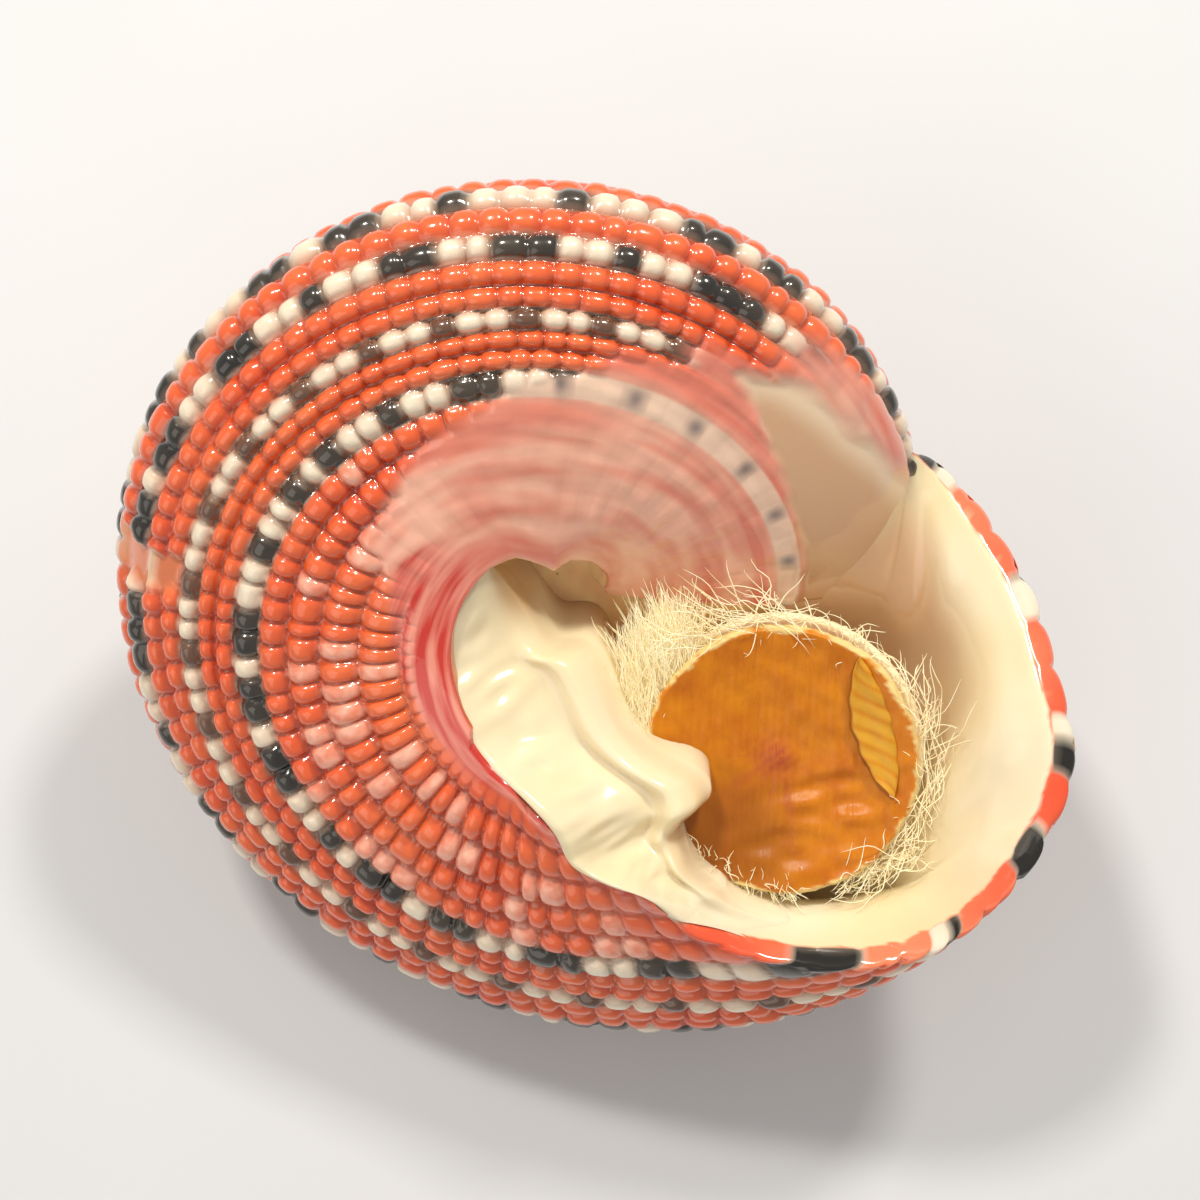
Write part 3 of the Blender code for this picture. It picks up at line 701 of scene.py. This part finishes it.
def lining_point(row, along):
    """A point of the lining in units. Above CORNER_TO it is the whorl's face, set back by the
    thickness of the wall. Below, a smooth curve leads over to the whorl before."""
    inset, back = np.moveaxis(through(EDGE, along), -1, 0)
    inset = inset * (1 + THICKER * smooth((row - 8.5) / 4) * smooth((along - 0.12) / 0.12))
    column = MOUTH - np.radians(back)
    cord = np.clip(row, 0, 20)
    outside, angle = whorl(cord, column)
    set_in, _ = whorl(cord, column, inset)
    # beside the seam the lining starts as a film on the whorl before, and sinks into it further on
    old_cord = np.interp(row, (-6, 0), (15, 7.5))
    film = whorl(old_cord, angle - TURN, 0.03 * smooth((-row - 0.5) / 3) - 0.003)[0]
    start = np.where((row < 0)[..., None], film, outside)
    joins = (2.5, 3.5, CORNER_TO, CORNER_TO + 1)
    joint = [(r, *whorl(r, 0.0, LINING_THICK)[0][[0, 2]]) for r in joins]
    curve = through(CORNER + joint, row)
    curve = place(curve[..., 0] + flare(cord, angle), curve[..., 1], angle)
    full = inset / LINING_THICK
    slow = smooth((2.5 - row) / 3)
    risen = np.minimum(full, smooth(np.radians(back) / CORNER_RISE))
    full = (full * (1 - slow) + risen * slow)[..., None]
    curve = start * (1 - full) + curve * full
    bent = smooth((CORNER_TO - row) / 1.5)[..., None]
    return set_in * (1 - bent) + curve * bent, outside, inset, back, angle


rows = np.arange(-6, 19.61, 0.1)
along = np.concatenate([np.linspace(0, 0.26, 24), np.linspace(0.28, 1, 44)])
row_grid, along_grid = np.meshgrid(rows, along, indexing="ij")
lining, outside, inset, back, angle = lining_point(row_grid, along_grid)
lift, lip_masks = bead_fields(np.maximum(row_grid, 0), angle * 0 + angle[:, :1])
# the ends of the beads make the edge wavy, and next to the callus the lining sinks under it
scallop = (0.4 * lift * size(angle) * hill(inset / 0.03))[..., None]
lining = lining - across(outside) * scallop
lining = lining - FACE * (0.12 * smooth((row_grid - 17.4) / 1.0))[..., None]
coral = smooth((0.125 + 0.012 * waves(row_grid * 3, 0, 3) - along_grid) / 0.02)
coral = coral * smooth((17.6 - row_grid) / 0.4)
# tan and amber follow shade, which grows further back from the lip: painted shade of the mouth's depth
# over the nacre's own tan
shade = smooth((back - 6) / 55)
dark_end = smooth((0.118 - along_grid) / 0.02)
lining_masks = {
    "coral": coral,
    "black": lip_masks["black"] * dark_end,
    "cream": lip_masks["cream"] * dark_end,
    "tan": shade * smooth((8 - row_grid) / 6) * 0.8,
    "amber": shade * smooth((row_grid - 6) / 6) * 0.75,
    "rose": smooth((6.5 - row_grid) / 5.5) * smooth((back - 1) / 14) * 0.95,
}
mouth_lining = surface("mouth_lining", to_row(lining), PORCELAIN, lining_masks)
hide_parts("shell")

# %% [markdown]
# The columella is the pillar the whorls wind round. Here it is a twisted porcelain ridge with a
# blunt tooth, and a callus spreads from it to the pink ribbon round the navel. The growth rule
# doesn't give it, and carved by hand it couldn't be changed later. So two drawn edges bound it,
# one beside the ribbon and one along the mouth. s counts the points of these edges, and t goes
# from 0 at the ribbon to 1 at the mouth. Between them the surface sinks a little and then swells
# to the ridge, and past the mouth's edge it turns under.

# %% Columella and callus
# x, y and z in shell units, from the navel's far side down to the foot of the lip
RIBBON_SIDE = [(-0.188, 0.193, 1.72), (-0.283, 0.023, 1.808), (-0.26, -0.086, 1.859),
               (-0.214, -0.169, 1.905), (-0.15, -0.242, 1.951), (-0.050, -0.295, 2.016),
               (0.046, -0.364, 2.070), (0.086, -0.431, 2.086), (0.120, -0.492, 2.098),
               (0.212, -0.526, 2.122), (0.268, -0.545, 2.130), (0.322, -0.566, 2.130),
               (0.431, -0.609, 2.123), (0.534, -0.701, 2.106), (0.640, -0.785, 2.08)]
MOUTH_SIDE = [(-0.13, 0.205, 1.68), (-0.027, 0.018, 1.62), (0.042, -0.074, 1.62), (0.144, -0.093, 1.64),
              (0.229, -0.236, 1.74), (0.333, -0.327, 1.80), (0.432, -0.361, 1.83), (0.466, -0.432, 1.84),
              (0.407, -0.493, 1.87), (0.392, -0.520, 1.90), (0.411, -0.569, 1.93), (0.454, -0.625, 1.95),
              (0.528, -0.667, 1.98), (0.612, -0.680, 2.00), (0.740, -0.690, 2.00)]
TOOTH_AT = 7.0                  # point of the lists above
# point of the lists and the cord number of the lip's lining that it runs out on
FOOT = [(0, 19.0), (9, 18.7), (10, 18.4), (11, 18.0), (12, 17.2), (13, 15.9), (14, 14.5)]
FOOT_UP = np.array([0, 0.7, 0.7])    # the way the foot is lifted off the lining

stations = np.linspace(0, len(RIBBON_SIDE) - 1, 240)
numbered = [[(i, *p) for i, p in enumerate(side_points)] for side_points in (RIBBON_SIDE, MOUTH_SIDE)]
near, far = (through(keys, stations) for keys in numbered)
share = np.linspace(-0.10, 1.45, 116)
s, t = np.meshgrid(stations, share, indexing="ij")
open_share = np.maximum(np.clip(t, -1, 1), -0.03 * smooth(s / 3))
callus = near[:, None] * (1 - open_share)[..., None] + far[:, None] * open_share[..., None]
swell = 0.055 * hill((t - 0.78) / 0.14) * smooth((s - 0.5) / 2) * smooth((14 - s) / 4)
sink = -0.045 * np.sin(math.pi * np.clip(t, 0, 1)) * smooth((s - 1) / 3)
groove = -0.022 * hill((t - 0.60) / 0.07) * smooth((s - 3) / 2) * smooth((10 - s) / 3)
tooth = 0.035 * hill((s - TOOTH_AT) / 0.5) * smooth((t - 0.35) / 0.4)
notch = -0.030 * hill((s - TOOTH_AT - 2.2) / 0.7) * smooth((t - 0.5) / 0.4)
lobes = 0.007 * waves(s * 3.2, t * 5, 8) * hill((t - 0.30) / 0.22)
rise = 0.030 * smooth((t + 0.04) / 0.10) * (0.2 + 0.8 * smooth(s / 3))
rise = rise - 0.20 * smooth((-0.02 - t) / 0.08)
round_off = -0.06 * smooth((t - 0.86) / 0.14) ** 2
relief = swell + sink + groove + tooth + notch + lobes + rise + round_off
callus = callus + FACE * relief[..., None]
under = np.clip(t - 1, 0, 1)[..., None]
callus = callus + np.array([-0.10, -0.02, -1.0]) * under * 0.9
callus = callus + np.array([-0.10, 0.0, 0.0]) * under ** 2
# the foot of the callus runs out into the lining of the lip
from_edge = 0.11 * smooth((s - 11.4) / 1.2)
foot_along = from_edge + (0.20 - from_edge) * np.clip(t, 0, 1) + 0.9 * np.clip(t - 1, 0, 1)
foot = lining_point(between(FOOT, s), foot_along)[0]
lifted = 0.008 - 0.040 * smooth((s - 12.4) / 1.4) - 0.04 * smooth((-0.02 - t) / 0.08)
foot = foot + FOOT_UP * lifted[..., None]
run_out = smooth((s - 9.2 - 2.3 * np.clip(t, 0, 1)) / 2.7)[..., None]
callus = callus * (1 - run_out) + foot * run_out
# tan and amber are painted shade where the callus turns under the mouth's edge and at its upper end,
# where it dips into the navel
upper_end_shade = smooth((1.6 - s) / 1.2) * smooth((t - 0.5) / 0.4) * 0.6
callus_masks = {
    "tan": np.maximum(smooth((t - 1.02) / 0.2) * 0.8, upper_end_shade),
    "amber": smooth((t - 0.62) / 0.2) * smooth((1.2 - s) / 0.8) * 0.5,
    "rose": 0 * t, "coral": 0 * t, "cream": 0 * t, "black": 0 * t,
}
columella = surface("columella", to_row(callus), PORCELAIN, callus_masks, flip=True)
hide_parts("shell")

# %% [markdown]
# The lid is thin brown horn, laid down as a spiral round a small nucleus. Light passes into
# horn, so it glows amber, and its face is dull next to the shell's. Fine fibres run down it,
# which a stretched noise gives. Its wrap is in mm, so that they lie on the lid, however it leans.

# %% Horn
HORN = coated(
    "amber_horn",
    [("cloud", "wrap", None, 1.1, 5.0, 0.6, 0.35, 0.68),
     ("fibre", "wrap", (5.0, 0.7, 1.0), 1.6, 4.0, 0.6, 0.35, 0.7)],
    [("skin", "D08006", ("cloud", 1, "B86304"), ("fibre", 0.12, "DC9A30"), ("leaf", 1, "DDB03C"),
      ("dark", 1, "8A4A08"), ("nucleus", 1, "A8452C"), ("rim", 1, "E6CF8E"))],
    ("fibre", 0.2, 0.04 * MM), Roughness=0.36, Specular_IOR_Level=0.35,
    Subsurface_Weight=0.2, Subsurface_Scale=0.5 * MM, Subsurface_Radius=(1.0, 0.5, 0.1))

# %% [markdown]
# The face of the lid is slightly dished and wrinkled, and its rim is pale and frayed. It could be
# a cylinder with a displaced top. A round grid keeps its points where the fraying needs them, at
# the rim, and its height is a sum of the dish, the wrinkles, a dimple and the coil.

# %% The lid
LID_CENTRE = np.array([0.655, -0.392, 1.715])
LID_RADIUS = 0.385
LID_LEAN = math.radians(-25)
LID_THICK = 0.35 * MM / UNIT
LID_DISH = 0.45 * MM / UNIT
TO_LID = np.array(Matrix.Rotation(LID_LEAN, 3, 'X'))


def from_lid(points):
    """From the lid's own frame, its face towards +Z, to shell units."""
    return np.asarray(points) @ TO_LID.T + LID_CENTRE


def lid_bowl(reach):
    """How deep the dish is at a share of the lid's radius: LID_DISH times 1 less its square."""
    return LID_DISH * (1 - reach ** 2)


r, a = round_grid(np.concatenate([np.linspace(0.004, 0.90, 60), np.linspace(0.915, 1, 10)]), 220)
x, y = r * np.cos(a), r * np.sin(a)
low_right = smooth((0.9 - np.hypot(x - 0.45, y + 0.55)) / 0.6)
wrinkle = 0.006 * waves(x * 4, y * 4, 21) * smooth(r / 0.3)
# the wrinkles at the lower right run along a slanting line
slanting = waves((0.93 * x + 0.37 * y) * 3, (0.93 * y - 0.37 * x) * 13, 22)
wrinkle = wrinkle + 0.011 * low_right * slanting + 0.002 * waves(x * 30, y * 6, 23)
dimple = 0.003 * hill(r / 0.10) - 0.003 * hill((r - 0.16) / 0.07)
coil = 0.0005 * np.sin(4.2 * np.log(r + 0.03) * 3 + a)
ragged = 0.010 * waves(a * 9, 0 * a, 4) + 0.006 * waves(a * 31, 0 * a, 6)
frayed = LID_RADIUS * (1 + smooth((r - 0.93) / 0.07) * ragged)
top = LID_THICK - lid_bowl(r) + wrinkle * 0.8 + dimple + coil - 0.022 * smooth((r - 0.97) / 0.03)
face = np.stack([x * frayed, y * frayed, top], -1)
back = np.stack([x * frayed, y * frayed, 0.006 - lid_bowl(r)], -1)[::-1]
lid_points = np.concatenate([face, back])
lid_x, lid_y = lid_points[..., 0] / LID_RADIUS, lid_points[..., 1] / LID_RADIUS
radius = np.hypot(lid_x, lid_y)
bearing = np.arctan2(lid_y, lid_x)
rays = 0.4 * np.clip(waves(bearing * 9, radius * 1.5, 16), 0, 1) * smooth((radius - 0.08) / 0.2)
rays = rays * smooth((0.65 - radius) / 0.4) * smooth((0.3 - lid_y) / 0.5)
nucleus = hill(np.hypot(lid_x + 0.04, lid_y) / 0.15) * 0.75
lid_masks = {
    "dark": smooth((0.75 - np.hypot(lid_x + 0.35, lid_y + 0.62)) / 0.6) * 0.75,
    "nucleus": nucleus * (1 + 0.4 * waves(lid_x * 30, lid_y * 30, 3)) + rays,
    "rim": smooth((radius - 0.95 + 0.03 * waves(lid_x * 16, lid_y * 16, 9)) / 0.035),
    "leaf": 0 * radius,
}
lid = surface("operculum_lid", to_row(from_lid(lid_points)), HORN, lid_masks,
              np.stack([lid_x, lid_y], -1) * LID_RADIUS * UNIT / MM, closed=True, flip=True)
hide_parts("operculum")

# %% [markdown]
# A leaf of the horn has cracked loose on the right of the lid. It is a small curved sheet,
# pointed at both ends, its veins run across it, and its left edge stands up. It could be cut out
# of the lid's grid, but the crack would be jagged. So it is a sheet of its own, laid on the dish.

# %% The cracked leaf
LEAF_TOP = np.array([0.205, 0.310])      # ends of its middle line, in the lid's own frame
LEAF_FOOT = np.array([0.318, -0.085])
LEAF_SIDE = np.array([-0.96, -0.28])     # the way from its middle line to its left edge
LEAF_BELLY = 0.120                       # its greatest width
LEAF_LIFT = 0.014
LEAF_THICK = 0.016
lengthways, crossways = np.meshgrid(np.linspace(0, 1, 60), np.linspace(-1, 1, 24), indexing="ij")
spine = LEAF_TOP * (1 - lengthways[..., None]) + LEAF_FOOT * lengthways[..., None]
belly = LEAF_BELLY * 0.5 * np.sin(math.pi * lengthways) ** 0.8
belly = belly * (1 + 0.15 * waves(lengthways * 9, 0 * lengthways, 2))
flat_leaf = spine + LEAF_SIDE * (crossways * belly + 0.25 * belly)[..., None]
veins = 0.0012 * np.sin(lengthways * 40 + crossways * 5)
leaf_high = LID_THICK - lid_bowl(np.linalg.norm(flat_leaf, axis=-1) / LID_RADIUS) + LEAF_LIFT
leaf_high = leaf_high + 0.016 * smooth(crossways) - 0.010 * np.abs(crossways) ** 4 + veins
leaf_face = np.concatenate([flat_leaf, leaf_high[..., None]], -1)
leaf_back = leaf_face - np.array([0, 0, LEAF_THICK])
leaf_points = np.concatenate([leaf_face, leaf_back[:, ::-1]], 1)
both_long, both_cross = (np.concatenate([grid, grid], 1) for grid in (lengthways, crossways))
# dark lays a dark brown line along the leaf's raised left edge: painted shade of the crack beside it
leaf_masks = {"dark": 0.9 * smooth((both_cross - 0.80) / 0.15),
              "nucleus": 0 * both_long, "rim": 0 * both_long,
              "leaf": 0.60 - 0.45 * np.abs(np.sin(both_long * 26 + both_cross * 2.5)) ** 6}
leaf = surface("cracked_leaf", to_row(from_lid(leaf_points)), HORN, leaf_masks,
               leaf_points[..., :2] * UNIT / MM, closed=True)
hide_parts("operculum")

# %% [markdown]
# Cotton is nearly white and has a soft sheen. In a loose wad each fibre is also lit by light that
# comes through its neighbours. That takes very many light paths, so a faint glow stands for it.

# %% Cotton
COTTON = coated(
    "cotton_fibre", [("cloud", "place", None, 0.5, 2.0, 0.55, 0.3, 0.7)],
    [("skin", "FFF6D6", ("cloud", 1, "FBE6B4"))], Roughness=0.55, Sheen_Weight=0.6,
    Sheen_Roughness=0.4, Emission_Color=colour("F5E2B0"), Emission_Strength=0.14,
    Subsurface_Weight=0.3, Subsurface_Scale=0.2 * MM)

# %% [markdown]
# The cotton wool is a mass of very fine fibres. A real fibre is about 0.02 mm thick, and each one
# here is 0.026 mm, so that it still shows. Blender's own hair would do for the picture, but the
# exported part needs a mesh. So a fibre is a thin tube along a wandering path: it starts beside
# the lid and leans one way, and slow sines bend it.

# %% Cotton fibres
FIBRE_RADIUS = 0.013 * MM / UNIT
FIBRE_POINTS = 14
FIBRE_SIDES = 4


def fibres(count, seed, bearing, distance, height, lean, length, curl, spread=0.45):
    """Paths of fibres in the lid's frame. bearing, distance, height and length are ranges, lean
    is the mean direction. A path is a straight line plus curl times slow random sines."""
    rng = np.random.default_rng(seed)
    angle = np.radians(rng.uniform(*bearing, count))
    far = rng.uniform(*distance, count)
    start = np.stack([far * np.cos(angle), far * np.sin(angle), rng.uniform(*height, count)], -1)
    way = np.asarray(lean) + rng.normal(0, spread, (count, 3))
    way /= np.linalg.norm(way, axis=-1, keepdims=True)
    t = np.linspace(0, 1, FIBRE_POINTS)[None, :, None]
    long = rng.uniform(*length, count)[:, None, None]
    path = start[:, None] + way[:, None] * long * (t - 0.35)
    for k in (1, 2, 3.3):
        bend = curl * long * rng.normal(size=(count, 1, 3))
        begin = rng.uniform(0, TURN, (count, 1, 3))
        path = path + bend * np.sin(k * TURN * 0.6 * t + begin) / k
    return path


def tubes(name, paths, radius, sides):
    """Thin tubes along the paths: rings of a few points. Their radius is the root of 1 less the
    square of the distance from the middle of the path, so both ends are narrow."""
    ahead = np.gradient(paths, axis=1)
    ahead /= np.linalg.norm(ahead, axis=-1, keepdims=True)
    u = np.cross(ahead, np.array([0.31, 0.52, 0.79]))
    u /= np.maximum(np.linalg.norm(u, axis=-1, keepdims=True), 1e-9)
    v = np.cross(ahead, u)
    thin = radius * np.sqrt(np.clip(1.02 - (2 * np.linspace(0, 1, paths.shape[1]) - 1) ** 2, 0.02, 1))
    turn = np.arange(sides) * TURN / sides
    ring = u[:, :, None] * np.cos(turn)[:, None] + v[:, :, None] * np.sin(turn)[:, None]
    points = paths[:, :, None] + ring * thin[None, :, None, None]
    count, steps = paths.shape[:2]
    number = np.arange(count * steps * sides).reshape(count, steps, sides)
    following = np.roll(number, -1, axis=2)
    quads = np.stack([number[:, :-1], following[:, :-1], following[:, 1:], number[:, 1:]], -1)
    caps = [number[:, 0, ::-1], number[:, -1]]
    faces = [*quads.reshape(-1, 4).tolist(), *np.concatenate(caps).tolist()]
    mesh = bpy.data.meshes.new(name)
    mesh.from_pydata(to_row(from_lid(points.reshape(-1, 3))), [], faces)
    return add_piece(name, mesh, COTTON)


# count, seed, bearing in degrees, distance, height, lean, length, curl, and spread at times
bundles = [
    fibres(1100, 1, (128, 176), (0.37, 0.50), (-0.14, 0.03), (-0.15, 0.95, 0.25), (0.14, 0.28), 0.03,
           0.24),
    fibres(200, 2, (172, 205), (0.36, 0.42), (-0.10, 0.02), (0.0, 0.9, 0.2), (0.08, 0.18), 0.04, 0.3),
    fibres(60, 3, (85, 135), (0.385, 0.44), (-0.04, 0.05), (-0.9, 0.4, 0.2), (0.15, 0.35), 0.09),
    fibres(40, 4, (30, 85), (0.385, 0.42), (-0.04, 0.02), (0.6, -0.7, 0.1), (0.06, 0.18), 0.09),
    fibres(70, 5, (-35, 30), (0.38, 0.45), (-0.06, 0.03), (0.1, 1.0, 0.1), (0.12, 0.30), 0.08),
    fibres(80, 6, (-65, -35), (0.37, 0.45), (-0.06, 0.04), (0.7, 0.7, 0.2), (0.08, 0.22), 0.10),
    fibres(170, 7, (-140, -80), (0.36, 0.41), (-0.04, 0.04), (-0.2, 1.0, 0.4), (0.05, 0.14), 0.08),
]
paths = np.concatenate(bundles)
print("there are", len(paths), "fibres")
wool = tubes("cotton_fibres", paths, FIBRE_RADIUS, FIBRE_SIDES)
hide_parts("cotton_wad")

# %% [markdown]
# A soft bed fills what the fibres leave open behind and round the lid. More fibres would do it
# too, but very many would be needed. It is a low dish with a lumpy face in the same cotton, a
# profile turned round the lid's middle, and it lies where the CAD wad lies.

# %% The bed of the wad
# radius and height of its profile in the lid's frame, from the middle below to the middle above
BED = [(0.02, -0.16), (0.20, -0.165), (0.33, -0.15), (0.38, -0.13), (0.400, -0.10), (0.400, -0.08),
       (0.390, -0.07), (0.375, -0.075), (0.33, -0.09), (0.18, -0.10), (0.02, -0.105)]
NARROW_AT = 192                 # bearing in degrees where the bed gives way to the columella
turn = np.linspace(0, TURN, 160, endpoint=False)
ring = through([(i, *p) for i, p in enumerate(BED)], np.linspace(0, len(BED) - 1, 60))
narrow = 1 - 0.42 * hill(((np.degrees(turn) - NARROW_AT + 180) % 360 - 180) / 34)
bed_r = ring[:, :1] * narrow[None]
lump = 0.006 * waves(bed_r * np.cos(turn) * 60, bed_r * np.sin(turn) * 60, 31)
bed = np.stack([bed_r * np.cos(turn), bed_r * np.sin(turn), ring[:, 1:] + lump], -1)
wool_bed = surface("cotton_bed", to_row(from_lid(bed)), COTTON, closed=True)
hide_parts("cotton_wad")

# %% [markdown]
# The shell lies on a plain pale floor. Matt card with a faint cloud in its colour keeps the
# shell's own colours clear, and one large square face is enough for it.

# %% Floor
FLOOR_HALF = 0.6                # metres from the middle to an edge
CARD = coated("pale_floor", [("cloud", "place", None, 0.06, 2.0, 0.55, 0.3, 0.7)],
              [("skin", "CFD3D8", ("cloud", 1, "D3D7DC"))], Roughness=0.75)
ends = np.array([-FLOOR_HALF, FLOOR_HALF])
floor_grid = np.stack([*np.meshgrid(ends, ends, indexing="ij"), np.zeros((2, 2))], -1)
floor_mesh = bpy.data.meshes.new("floor")
floor_mesh.from_pydata(floor_grid.reshape(-1, 3).tolist(), [], [(0, 2, 3, 1)])
floor_mesh.materials.append(CARD)
floor = bpy.data.objects.new("floor", floor_mesh)
bpy.context.scene.collection.objects.link(floor)

# %% [markdown]
# The camera looks down on the mouth, and its frame is a little off its axis, as in the
# photograph. It could be placed by eye, but here it follows from two tilts and a distance in
# shell units. Then the shell keeps its place in the picture if it lies otherwise.

# %% Camera
CAMERA_AWAY = 6.0               # units along the axis of view, from the widest cord's plane
CAMERA_HEIGHT = 1.194           # units, height of that plane on the coiling axis
CAMERA_TILT = (math.radians(-7.0), math.radians(-32.3))
PIXELS_A_UNIT = 338
IMAGE = 1200
PRINCIPAL = (566, 534)          # pixel of the 1200 x 1200 photograph on the axis of view
SENSOR = 36                     # mm

tilt = math.hypot(*CAMERA_TILT)
tilt_axis = Vector((-CAMERA_TILT[1], CAMERA_TILT[0], 0)).normalized()
looking = np.array(Matrix.Rotation(tilt, 3, tilt_axis)).T
camera_at = looking @ np.array([0, 0, CAMERA_AWAY]) + np.array([0, 0, CAMERA_HEIGHT])
camera_data = bpy.data.cameras.new("camera")
camera_data.sensor_width = SENSOR
camera_data.lens = SENSOR * PIXELS_A_UNIT * CAMERA_AWAY / IMAGE
camera_data.shift_x = (IMAGE / 2 - PRINCIPAL[0]) / IMAGE
camera_data.shift_y = -(IMAGE / 2 - PRINCIPAL[1]) / IMAGE
camera_data.clip_start = 1 * MM
camera = bpy.data.objects.new("camera", camera_data)
bpy.context.scene.collection.objects.link(camera)
turned = Matrix(LAY @ looking)
spot = camera_at * UNIT @ LAY.T + SPIRE_TIP
camera.matrix_world = Matrix.Translation(Vector(spot)) @ turned.to_4x4()
bpy.context.scene.camera = camera
print("camera is", round(float(spot[2]) / MM, 1), "mm above the floor")

# %% [markdown]
# Two small soft lamps stand high on either side of the camera, so that each bead shows a pair of
# lights. A large weak one and a pale room fill the shadows. A picture of a room could light the
# shell too, but it would put that room's windows in every bead.

# %% Lamps and room
LAMP_COLOUR = (1.0, 0.93, 0.83)
AIM = Vector((0, 0, 7 * MM))    # middle of the shell


def lamp(name, right, up, away, width, power):
    """An area lamp placed in the camera's own directions and aimed at the shell."""
    data = bpy.data.lights.new(name, 'AREA')
    data.energy = power
    data.size = width
    data.color = LAMP_COLOUR
    thing = bpy.data.objects.new(name, data)
    bpy.context.scene.collection.objects.link(thing)
    way = turned @ Vector((right, up, away))
    thing.location = AIM + way
    thing.rotation_euler = way.to_track_quat('Z', 'Y').to_euler()
    print(name, "stands", round(way.length / MM), "mm from the shell")


lamp("lamp_left", -0.035, 0.075, 0.085, 0.015, 0.078)
lamp("lamp_right", 0.035, 0.085, 0.080, 0.015, 0.078)
lamp("lamp_fill", -0.08, -0.05, 0.09, 0.10, 0.03)

world = bpy.data.worlds.new("studio")
bpy.context.scene.world = world
world.use_nodes = True
room = world.node_tree.nodes["Background"]
room.inputs["Color"].default_value = colour("F6F0E8")
room.inputs["Strength"].default_value = 0.52
bpy.context.scene.view_settings.view_transform = 'Standard'
